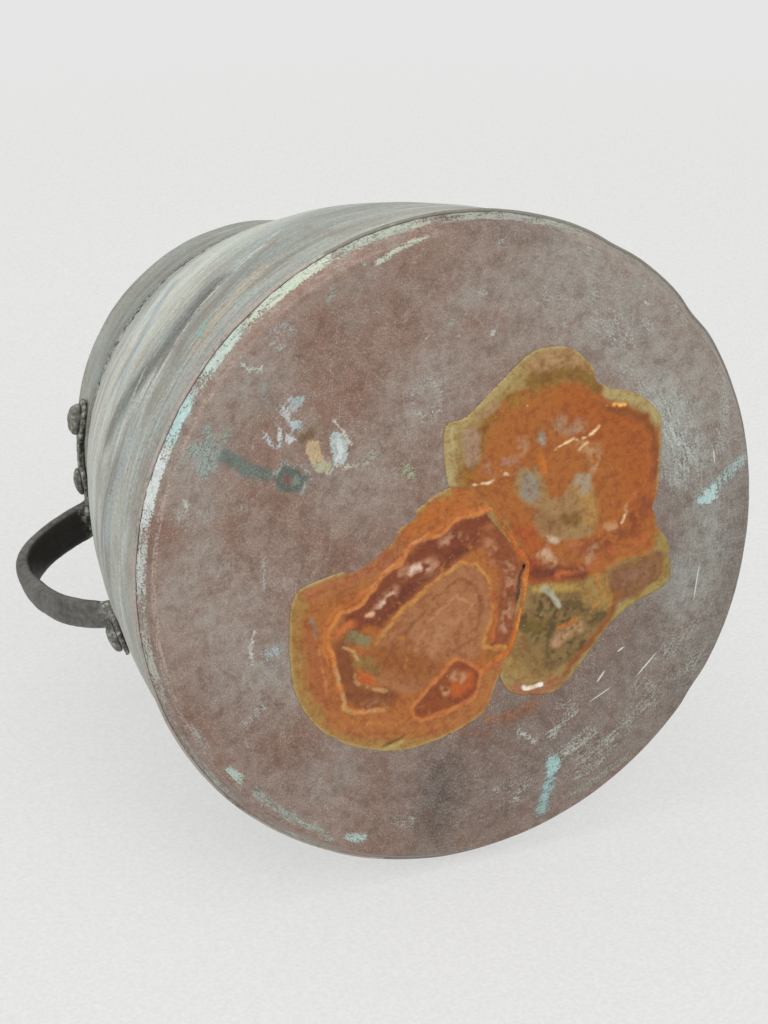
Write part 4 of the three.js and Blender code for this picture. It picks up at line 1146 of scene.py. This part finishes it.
# What shows in each pour: colour, line in mm, half width, softness, rise in mm, and how broken, if it is.
# A line that ends where it began is filled.
LARGE_SHAPES = [
    ("#a4601c", [(9.5, -25), (15, -30), (20, -35.5), (25, -42.5), (36, -47), (50.5, -44.5), (62, -39),
        (70.5, -27.5), (84, -15.5), (86.5, -8), (85.5, 1), (81.5, 9), (75.5, 23.5), (76, 33), (67.5, 37),
        (58, 33.5), (47.5, 34.5), (34, 32), (20, 26.5), (22, 16), (21, 5), (17, -7),
        (9.5, -25)], 0, 1, 0.12),
    ("#956412", [(11, -26), (17, -33), (22, -39)], 3, 2.5, 0),
    ("#7a5010", [(12, -26), (16, -31), (21, -37), (26, -43), (36, -47), (48, -45)], 0.8, 0.7, -0.05, -0.15),
    ("#9a6c1e", [(26, -42), (38, -45), (50, -43)], 2.4, 2, 0, -0.1),
    ("#a4570c", [(62, -30), (74, -16), (78, 0), (72, 16)], 11, 9, 0.1),
    ("#87490a", [(70, -26), (78, -20), (84.5, -14), (85.5, -6), (84, 2), (80.5, 9)], 1.5, 1.4, 0),
    ("#a68559", [(46, -55), (53, -57), (62, -54), (67, -47), (66, -42), (58, -46.5), (48, -50), (46, -55)],
        0, 2, 0),
    ("#8d6a3c", [(54, -52), (62, -50)], 2.5, 2, 0, 0.0),
    ("#83601c", [(46, -48.5), (58, -45.5), (66, -41), (69, -34)], 2.4, 1.8, -0.1),
    ("#ad9d6c", [(11, -45.5), (7.5, -38), (3.5, -26)], 2, 0.8, 0.15),
    ("#a99560", [(16, -45.5), (24, -48.5), (32.5, -51), (42, -55)], 1.8, 0.9, 0.1),
    ("#a89865", [(73, -30.5), (81, -23.5), (87.5, -16.5), (88.5, -11)], 2, 1.3, 0.1),
    ("#9f8268", [(17, -40.5), (14.5, -31.5)], 3.2, 1.6, 0),
    ("#a08258", [(24, -45), (30, -47)], 1.8, 1.2, 0),
    ("#a78264", [(50.5, -28), (57.5, -23)], 3.2, 3, 0, -0.12),
    ("#9f978e", [(43, -27.5), (42.5, -24.5)], 1.3, 0.9, 0),
    ("#b4865d", [(57, -16), (61, -11), (59, -5)], 2.4, 2, 0, -0.08),
    ("#b07f5c", [(35.5, -28), (33.5, -26)], 2, 1.8, 0, -0.1),
    ("#ad7d60", [(21, -25), (28.5, -22.5)], 2.6, 2.4, 0, -0.02),
    ("#9d7a4c", [(29.5, -19.5), (35, -18), (37.5, -15.5), (37.5, -9), (38.5, -4), (43, -1), (47, -4.5),
        (51, -6), (55, -4.5), (56, -0.5), (55.5, 6), (53, 14), (49.5, 18.5), (40, 16.5), (31, 11),
        (28.5, 4), (32, -0.5), (29, -3.5), (27, -8.5), (27, -14.5), (29.5, -19.5)], 0, 0.9, -0.12),
    ("#aa8244", [(50, -2), (53, 6), (51, 13)], 3, 2, 0),
    ("#918676", [(31, -16.5), (34.5, -15), (35.5, -9), (34, -4.5), (30.5, -5), (28.5, -9),
        (31, -16.5)], 0, 1, 0),
    ("#a29078", [(51, -4), (54, -2.5), (52, 1)], 2, 1.4, 0),
    ("#906a3c", [(33, 3), (36, 9)], 3, 2.5, 0),
    ("#7d5b1a", [(41.5, 8.5), (45.5, 10.5)], 2.6, 1.6, 0),
    ("#a8520e", [(23, 4), (27, 6), (26, 12)], 3, 2.4, 0),
    ("#c0701c", [(39.5, -18), (39.5, -14)], 1.6, 1.2, 0.05),
    ("#9c400c", [(20, 17), (25, 23)], 3.6, 2.6, -0.1),
    ("#70300a", [(24, 22.5), (31.5, 26), (41, 32)], 2.6, 2, -0.15),
    ("#8a4412", [(44, 23), (56, 25), (66, 22), (73, 19)], 4, 3, -0.15, -0.1),
    ("#b46a30", [(40, 19), (52, 21), (62, 17), (70, 12)], 1.4, 1.2, 0.1, 0.0),
    ("#b5602a", [(31, 27), (44, 30), (58, 29), (68, 31)], 1.6, 1.2, 0.1, 0.0),
    # Painted glints along the red-brown band.
    ("#c39c80", [(28.5, 15.5), (31, 21)], 1.9, 1.6, 0.06, -0.05),
    ("#c3ae92", [(33, 13), (35, 14)], 1.4, 0.9, 0.1, -0.2),
    ("#b08260", [(37.5, 22), (42, 24)], 2, 1.8, 0.06, 0.0),
    ("#ae8260", [(43, 29), (49, 25)], 1.9, 1.7, 0.06, 0.0),
    ("#bc8e64", [(56, 19), (60, 21), (66, 16)], 1.5, 1.3, 0.1, 0.02),
    ("#855a2e", [(50, 37), (62, 37), (74, 39), (75, 46), (68, 50), (55, 51), (49, 47),
        (50, 37)], 0, 2, -0.05),
    ("#8c6448", [(54, 42), (66, 44)], 4, 3, 0, -0.05),
    ("#93803e", [(75, 33), (77, 42), (73, 49)], 1.6, 1.3, 0),
    ("#a08f48", [(70, 51), (58, 53), (50, 55)], 1.5, 1.2, 0.05),
    ("#ad6c26", [(46, 37.5), (48, 35), (58, 33.5), (69, 37)], 0.8, 0.6, 0.25),
    ("#82693a", [(19.5, 27), (25.5, 29), (38.5, 36), (37.5, 44), (44, 49.5), (44.5, 52.5), (35, 57.5),
        (28, 61.5), (20, 63.5), (15, 62), (10.5, 57.5), (8, 50.5), (13.5, 39.5), (19.5, 27)], 0, 2.2, -0.1),
    ("#554312", [(15, 40), (23, 36), (29, 43), (22, 50), (14, 48)], 4.6, 3.2, 0, -0.02),
    ("#5a4616", [(17, 57), (24.5, 57.5), (30, 58)], 3.8, 2.6, 0, -0.05),
    ("#5f4c1c", [(33, 42), (38, 48), (43, 51.5)], 3.2, 2.4, 0, -0.05),
    ("#6c5614", [(15.5, 41.5), (18.5, 44)], 2.2, 1.8, 0),
    ("#ab8c40", [(22, 28.5), (32, 33), (37, 36.5)], 1.6, 1.2, 0.05),
    ("#b08a66", [(23, 53), (28, 50.5), (33, 51)], 2.6, 2, 0, -0.02),
    ("#8a6d3a", [(9, 47.5), (13, 53), (12, 59)], 3.8, 2.8, 0),
    ("#b5702a", [(26, 48), (33, 47.5)], 0.9, 0.7, 0.1),
    ("#aaa78e", [(25.5, 30), (27, 33.5), (28.5, 39.5)], 1.3, 0.7, 0.1),
    ("#b07c2e", [(47, 35), (46, 39.5), (46.5, 45.5), (41.5, 47)], 0.7, 0.6, 0.2),
    ("#a67a30", [(50, 38), (49, 42), (49.5, 47), (45, 50.5)], 0.6, 0.5, 0.2),
    ("#8e5212", [(52, 46.5), (46, 53.5), (38, 58.5), (30, 62), (21.5, 66.5)], 1.3, 1.1, 0.1),
    ("#a06a44", [(2, 63), (8, 68), (18, 68)], 2.6, 2.2, 0),
    # Painted highlights: glints of light on small ridges and scratches in the resin.
    ("#f0d8a8", [(47, -19.5), (52, -20), (59, -19), (65, -19.5)], 0.45, 0.35, 0.1, -0.08),
    ("#e8c890", [(55, -15), (60, -17)], 0.4, 0.3, 0.1, 0.0),
    ("#f0e2c4", [(12.5, -21), (19.5, -20.5), (26.5, -18.5)], 0.45, 0.35, 0.1, -0.05),
    ("#f2b45c", [(70.5, -27), (74, -25.5), (77.5, -23)], 0.7, 0.4, 0.1, -0.1),
    ("#f0d8b0", [(62, 20), (64, 18)], 0.4, 0.3, 0.1),
    ("#f3f1ea", [(4, 63.5), (8, 65), (12, 66)], 0.9, 0.4, 0.15),
]
SMALL_SHAPES = [
    ("#a0793a", [(-65.5, -12), (-70.5, 2), (-76, 18.5), (-74.5, 31), (-68, 44.5), (-59, 54.5)], 3.6, 3, 0),
    ("#a05c2a", [(-64, -2), (-68, 12), (-69, 26), (-66, 38)], 3, 2.4, 0.05),
    ("#a56438", [(-59.5, -12), (-47, -10), (-31.5, -10), (-19.5, -14.5)], 3, 2.5, 0),
    ("#b0651e", [(-16, -16), (-5, -19), (6, -17)], 4, 3, 0.05),
    ("#aa682c", [(-68, 37.5), (-59.5, 46), (-49, 52.5), (-37.5, 59.5), (-23.5, 63.5), (-11.5, 60), (2, 50)],
        4, 3, 0.05),
    ("#8f7c68", [(-62, -2.5), (-66, 9.5)], 0.9, 0.8, 0, 0.0),
    ("#bd763c", [(-63, 6), (-66, 18), (-66.5, 30)], 0.6, 0.5, 0.15, -0.05),
    ("#bb7634", [(-62, 42), (-52, 49), (-40, 54)], 0.7, 0.6, 0.15, -0.05),
    ("#7c380b", [(11.5, -4), (4, -5.5), (-7.5, -5), (-15.5, -3.5), (-28, 0), (-38, 4),
        (-46.5, 6.5)], 5.4, 1.8, -0.25),
    ("#6d2f0a", [(8, -1), (-5, 0.5), (-16, 2), (-28, 6), (-38, 10)], 2.6, 1.8, -0.1, -0.2),
    ("#834716", [(-56, 13), (-57.5, 23.5), (-59, 32), (-52.5, 37), (-46, 40)], 3.6, 2, -0.15),
    ("#8c4818", [(12.5, -0.5), (15.5, 10.5), (13.5, 20.5), (8.5, 32), (2.5, 40)], 4.6, 2, -0.2),
    ("#a46c42", [(-42.5, 16.5), (-32.5, 12), (-22.5, 8.5), (-11, 6), (-2, 5), (3, 9), (5.5, 15), (4, 25.5),
        (-2, 35), (-5.5, 40.5), (-10, 42.5), (-19, 38.5), (-32, 43.5), (-42.5, 38.5), (-50, 25.5),
        (-45, 20.5), (-42.5, 16.5)], 0, 1.2, 0.15),
    ("#97581c", [(-44, 24), (-36, 30), (-28, 38)], 6, 5, 0),
    ("#8f5626", [(-40.5, 24.5), (-27, 17), (-15, 12), (-5, 10.5), (0.5, 16), (-0.5, 25.5), (-7.5, 34.5),
        (-19.5, 36)], 0.7, 0.7, 0.06, -0.2),
    ("#b58056", [(-30, 28), (-20, 19), (-8, 15), (-4, 22), (-11, 30)], 0.6, 0.6, 0.08, -0.2),
    ("#ad7850", [(-24, 30), (-14, 23), (-10, 25)], 2.4, 2.2, 0),
    ("#b0722e", [(-34, 20), (-31, 26), (-36, 32)], 0.6, 0.6, 0.1, -0.1),
    ("#bf6f2c", [(14, -11), (2.5, -14.5), (-9, -11.5), (-21, -10), (-36.5, -3.5), (-54, -1), (-59, 1.5),
        (-62, 10.5), (-63.5, 18.5)], 0.6, 0.5, 0.3),
    ("#cb7c34", [(16.5, -8.5), (3, -12.5), (-8, -9.5), (-17.5, -11), (-23, -8), (-35, -4), (-42.5, 0.5),
        (-52.5, 1), (-58, 3.5), (-60, 12), (-61, 19), (-62.5, 28.5), (-63, 35.5), (-59.5, 39.5), (-50, 44)],
        0.9, 0.6, 0.5),
    ("#b9935a", [(-61, 20), (-62.5, 28.5), (-63, 35.5), (-59.5, 39.5), (-48, 44)], 0.7, 0.5, 0.1, -0.1),
    ("#bf8436", [(-43.5, 17.5), (-33, 12.5), (-29, 9.5), (-21, 8), (-11, 5.5), (-2, 4.5), (2.5, 8),
        (5.5, 14), (4, 25.5), (-2, 35), (-5, 40.5), (3.5, 44.5)], 0.7, 0.5, 0.45),
    ("#c06818", [(17.5, -5.5), (18.5, 2), (21, 11), (22, 19), (18, 27.5), (12, 37.5), (5, 46.5), (-4, 47.5),
        (-9.5, 49.5)], 1.1, 0.7, 0.45),
    ("#d98c40", [(20, 22), (15.5, 31), (10, 40)], 0.5, 0.5, 0.2, -0.1),
    ("#b8621c", [(5, 21), (3, 32), (-1, 39.5)], 0.7, 0.6, 0.2),
    ("#3f2208", [(18.5, -2.5), (21, 4), (22.5, 9)], 0.9, 0.6, -0.3),
    ("#48260a", [(20, 17.5), (17.5, 22.5), (14, 28.5)], 0.6, 0.5, -0.25),
    ("#c27432", POOL_EDGE, 0.6, 0.6, 0.45),
    ("#8c440c", POOL_EDGE, -1, 0.6, -0.4),
    ("#b4560e", [(-20, 45), (-13, 47.5), (-15.5, 53.5), (-22.5, 52), (-20, 45)], 0, 1.6, 0),
    ("#b98e68", [(-19.5, 45.5), (-17, 47)], 1.8, 1.2, 0.12, -0.2),
    ("#b58656", [(-26, 47.5), (-24, 49)], 1.5, 1, 0.12, -0.15),
    ("#b07c58", [(-36, 51), (-33, 53)], 1.2, 0.8, 0.1, 0.0),
    # Pale flecks along the trough: painted glints, on bubbles in the resin.
    ("#b98a70", [(-6, -6), (-0.5, -7)], 1.8, 1.6, 0.06, 0.0),
    ("#b5815f", [(-24, -3), (-18, -0.5), (-12, 0)], 2.6, 2.2, 0.06, -0.05),
    ("#dcc3b4", [(-22, -2), (-15, -0.5)], 1.6, 1.4, 0.08, 0.14),
    ("#b98a6e", [(-38, 6), (-30.5, 2.5)], 2.2, 1.9, 0.06, 0.0),
    ("#dcc3b4", [(-36, 5), (-32, 3.5)], 1.2, 1, 0.08, 0.1),
    ("#dcb088", [(-43, 6), (-40, 7)], 0.7, 0.5, 0.1),
    ("#ae7350", [(10, 3), (11.5, 9)], 2.4, 2, 0.06, -0.02),
    ("#b28366", [(14.5, 15), (12.5, 24)], 2.4, 2, 0.06, -0.05),
    ("#b38568", [(9.5, 30), (5.5, 37)], 2.3, 1.9, 0.06, -0.08),
    ("#a3603a", [(12, -3), (4, -2)], 2, 1.8, 0.05, 0.0),
    ("#82764e", [(-51, 11), (-46.5, 14.5)], 2.3, 1.1, 0, -0.3),
    ("#a8621c", [(-45, 11), (-42, 14)], 2, 1.4, 0.05),
    ("#c06a2c", [(-54.5, 6.5), (-49, 6)], 1.7, 1.2, 0.1, -0.12),
    ("#8e6c32", [(-51.5, 21.5), (-47, 27.5)], 2.6, 1.8, 0),
    ("#c6621c", [(-53, 28.5), (-49.5, 30.5)], 1.7, 0.8, 0.1),
    ("#bd9462", [(-55, 13), (-52, 17), (-52, 20.5)], 0.6, 0.5, 0.2),
    ("#b98c5a", [(-55.5, 26), (-55, 29.5), (-50, 34.5), (-44.5, 38)], 0.6, 0.5, 0.2, -0.1),
    ("#9a6a48", [(-55, 38), (-48, 41)], 1.6, 1.4, 0.05, 0.05),
    ("#6d4c18", [(-54, 58.5), (-45.5, 57.5)], 0.6, 0.5, -0.2),
    ("#b09a5a", [(-56, 60), (-47, 59.5)], 1, 0.7, 0.05),
]
# Colour of the free edge, where the resin is thinnest, lightened as a painted highlight.
FEATHER = "#ad9c68"


def washed(skin, code, mask):
    """The points' colours with another colour laid over them by a mask."""
    share = mask[:, None]
    return skin * (1 - share) + np.array(colour(code)[:3]) * share


def pour(name, corners, film, shapes, material):
    """A patch of resin: its free edge thin and flat, with ridges, hollows and colours laid in as it set, and
    painted glints.
    """
    outline = closed_line(corners, 6)
    low, high = outline.min(0), outline.max(0)
    bm = bmesh.new()
    step = 0.55
    cells = np.ceil((high - low) / step).astype(int) + 2
    bmesh.ops.create_grid(bm, x_segments=int(cells[0]), y_segments=int(cells[1]), size=0.5)
    flat = np.array([v.co.xy for v in bm.verts]) * cells * step + (low + high) / 2
    gap, foot, inside = nearest(flat, outline, True)
    snapped = gap < 0.55 * step
    for v, p, q, snap in zip(bm.verts, flat, foot, snapped):
        v.co.x, v.co.y = (q if snap else p) * MM
    spare = [v for v, kept in zip(bm.verts, inside | snapped) if not kept]
    bmesh.ops.delete(bm, geom=spare, context="VERTS")
    points = np.array([v.co.xy for v in bm.verts]) / MM
    edge, _, _ = nearest(points, outline, True)
    height = 0.12 + 0.55 * ease(edge, 0, 7)
    flow = np.sin(2.4 * (edge + 2.5 * ripple(points, 9, 41) + 0.6 * ripple(points, 3, 43)))
    flow *= ease(edge, 0.5, 3) * (1 - ease(edge, 6, 12))
    # Along the ridge neither pour feathers out.
    joined, _, _ = nearest(points, RIDGE, False)
    edge = edge + 12 * (1 - ease(joined, 2, 6))
    shake = np.c_[ripple(points, 7, 1), ripple(points, 7, 5)] * 1.3
    shake += np.c_[ripple(points, 2.4, 2), ripple(points, 2.4, 8)] * 0.5
    cloudy = ripple(points, 5, 11) * 0.6 + ripple(points, 1.9, 17) * 0.4

    skin = np.tile(np.array(colour(film[0][1])[:3]), (len(points), 1))
    for depth, code in film[1:]:
        skin = washed(skin, code, ease(edge + 2.2 * cloudy, depth - 1.6, depth + 1.6))
    for code, line, wide, soft, lift, *broken in shapes:
        filled = line[0] == line[-1]
        shown = closed_line(line[:-1], 5) if filled else line
        mask = stroke(points + shake, shown, wide, soft, filled)
        height += lift * mask
        if broken:
            mask *= ease(cloudy, broken[0] - 0.12, broken[0] + 0.12)
        skin = washed(skin, code, mask)
    # A thin pale line where the resin feathers out, partly its thin edge and partly a painted highlight,
    # fading out where y + x/2 passes 50 to 62 mm.
    free = 0.75 * (1 - ease(edge, 0.3, 1.4)) * (1 - ease(points[:, 1] + 0.5 * points[:, 0], 50, 62))
    skin = washed(skin, FEATHER, free)
    height += 0.1 * ripple(points, 9, 23) + 0.05 * ripple(points, 3, 29) + 0.05 * flow
    # Clear resin lights up from the copper under it, less along the lines in which it flowed.
    skin *= (1.12 + 0.07 * flow)[:, None]

    tint = bm.verts.layers.float_color.new("tint")
    for v, h, c in zip(bm.verts, height, skin):
        v.co.z = (BASE_Z - 0.05 - max(0.08, h)) * MM
        v[tint] = (*c, 1)
    bmesh.ops.reverse_faces(bm, faces=bm.faces)
    grown = bmesh.ops.extrude_face_region(bm, geom=bm.faces[:], use_keep_orig=True)
    for v in [g for g in grown["geom"] if isinstance(g, bmesh.types.BMVert)]:
        v.co.z = (BASE_Z + 0.4) * MM
    bmesh.ops.recalc_face_normals(bm, faces=bm.faces)
    return keep(bm, name, material, "resin", name.replace("amber_", ""))


def make_floor(facing, touching):
    """A plain pale floor that only the camera sees, from its front, so that light comes from all round."""
    material, tree, place = new_material("pale_floor_matt")
    weave = add(tree, "TexNoise", {"Vector": place, "Scale": 1 / 1.6, "Detail": 2})
    tone = add(tree, "ValToRGB", {"Fac": weave}, stops=[(0.3, "#e7e7e6"), (0.7, "#efefee")])
    matt = add(tree, "BsdfDiffuse", {"Color": tone})
    glow = add(tree, "Emission", {"Color": tone, "Strength": 0.94})
    matt = add(tree, "MixShader", {0: 0.72, 1: matt, 2: glow})
    clear = add(tree, "BsdfTransparent")
    away = add(tree, "VectorMath", {0: place, 1: Vector(touching) / MM}, operation="DISTANCE", out="Value")
    fade = add(
        tree, "MapRange", {"Value": away, "From Min": 1150, "From Max": 700}, interpolation_type="SMOOTHSTEP"
    )
    seen = add(tree, "LightPath", out="Is Camera Ray")
    behind = add(tree, "NewGeometry", out="Backfacing")
    front = add(tree, "Math", {0: 1.0, 1: behind}, operation="SUBTRACT")
    shown = times(tree, seen, front)
    shown = times(tree, shown, fade)
    shader = add(tree, "MixShader", {0: shown, 1: clear, 2: matt})
    add(tree, "OutputMaterial", {"Surface": shader})
    bm = bmesh.new()
    bmesh.ops.create_grid(bm, x_segments=4, y_segments=4, size=1.3)
    turn = facing.to_track_quat("Z", "Y").to_matrix().to_4x4()
    bmesh.ops.transform(bm, matrix=Matrix.Translation(touching) @ turn, verts=bm.verts)
    mesh = bpy.data.meshes.new("pale_floor")
    bm.to_mesh(mesh)
    bm.free()
    mesh.materials.append(material)
    floor = bpy.data.objects.new("pale_floor", mesh)
    bpy.context.scene.collection.objects.link(floor)


def make_light(name, place, target, size, power):
    """A round soft lamp aimed at a target."""
    data = bpy.data.lights.new(name, "AREA")
    data.shape = "DISK"
    data.size = size
    data.energy = power
    lamp = bpy.data.objects.new(name, data)
    lamp.location = place
    lamp.rotation_mode = "QUATERNION"
    lamp.rotation_quaternion = (target - place).to_track_quat("-Z", "Y")
    bpy.context.scene.collection.objects.link(lamp)


def make_world():
    """Even studio light, with a pale ground for the camera."""
    world = bpy.data.worlds.new("soft_studio")
    bpy.context.scene.world = world
    world.use_nodes = True
    tree = world.node_tree
    tree.nodes.clear()
    seen = add(tree, "LightPath", out="Is Camera Ray")
    light = add(tree, "Background", {"Color": colour("#fbfbfa"), "Strength": 0.75})
    pale = add(tree, "Background", {"Color": colour("#e6e6e6"), "Strength": 1.0})
    shader = add(tree, "MixShader", {0: seen, 1: light, 2: pale})
    add(tree, "OutputWorld", {"Surface": shader})


def make_camera():
    """The photograph's camera, fitted to the outlines of the lying pot and rolled with it."""
    data = bpy.data.cameras.new("photo_camera")
    data.lens = 105
    data.sensor_width = 36
    data.clip_start = 0.05
    data.clip_end = 30
    back = -VIEW_WAY.normalized()
    up = Vector((0.43673, -0.85326, 0.28498))
    right = up.cross(back).normalized()
    up = back.cross(right)
    place = Vector((-0.30025, -0.48169, -0.93251))
    camera = bpy.data.objects.new("photo_camera", data)
    camera.matrix_world = Matrix.Translation(place) @ Matrix((right, up, back)).transposed().to_4x4()
    bpy.context.scene.collection.objects.link(camera)
    bpy.context.scene.camera = camera


bpy.context.scene.view_settings.view_transform = "Standard"
make_camera()
make_world()

# The photograph's upward direction, square to the floor that the pot's lip and swell both touch.
SIDE_UP = Vector((0.2907, -0.9460, -0.1435)).normalized()
touch = Vector((-0.2937 * LIP_R, 0.9559 * LIP_R, LIP_Z)) * MM
make_floor(SIDE_UP, touch)
pot_middle = Vector((0, 0, 0.09))
seen_from = -VIEW_WAY
across = SIDE_UP.cross(seen_from).normalized()
key_place = pot_middle + 1.5 * SIDE_UP + 0.1 * seen_from - 0.5 * across
fill_place = pot_middle + 0.7 * SIDE_UP + 1.6 * seen_from + 0.7 * across
make_light("key", key_place, pot_middle, size=1.4, power=6)
make_light("fill", fill_place, pot_middle, size=1.6, power=11)

base_finish = pan_copper()
wall_tones = ("#979690", "#b0b1aa", "#bec0b7", "#d1d2c8")
neck_tones = ("#85857d", "#97988f", "#a3a49a", "#b0b1a6")
wall_finish = wall_copper("raised_copper_grey_green_bloom", wall_tones)
neck_finish = wall_copper("raised_copper_olive_grey", neck_tones, NECK_FOOT[1])
iron_finish = forged_iron()
resin_finish = amber_resin()

make_wall(wall_finish)
make_pan(base_finish)
make_neck(neck_finish)
for side, degrees in (("right", 0), ("left", 180)):
    make_handle(f"iron_handle_{side}", math.radians(degrees), iron_finish)
    for part, turn, r, h, rough in (
        ("neck_outer_a", -OUTER_RIVET_DEG, 6.3, 4.2, 0.3),
        ("neck_inner_a", -INNER_RIVET_DEG, 5.6, 2.6, 0.45),
        ("neck_inner_b", INNER_RIVET_DEG, 5.6, 2.6, 0.4),
        ("neck_outer_b", OUTER_RIVET_DEG, 6.3, 4.2, 0.35),
    ):
        where = seat(NECK_FACE, GRIP_TOP_Z, degrees + turn)
        make_rivet(f"iron_rivet_{side}_{part}", where, r, h, NECK_SHEET, iron_finish, rough)
    where = seat(WALL_FACE, TONGUE_RIVET_Z, degrees)
    make_rivet(f"iron_rivet_{side}_wall", where, 6, 3.4, WALL_SHEET, iron_finish, 0.6)
# Colours of the thin film, by the distance in mm from the free edge.
large_film = [(0, "#9d8752"), (6, "#9a7c40")]
small_film = [(0, "#a3803e"), (4, "#a2692a"), (8, "#a86424")]
pour("amber_resin_patch_large", LARGE_EDGE, large_film, LARGE_SHAPES, resin_finish)
pour("amber_resin_patch_small", SMALL_EDGE, small_film, SMALL_SHAPES, resin_finish)
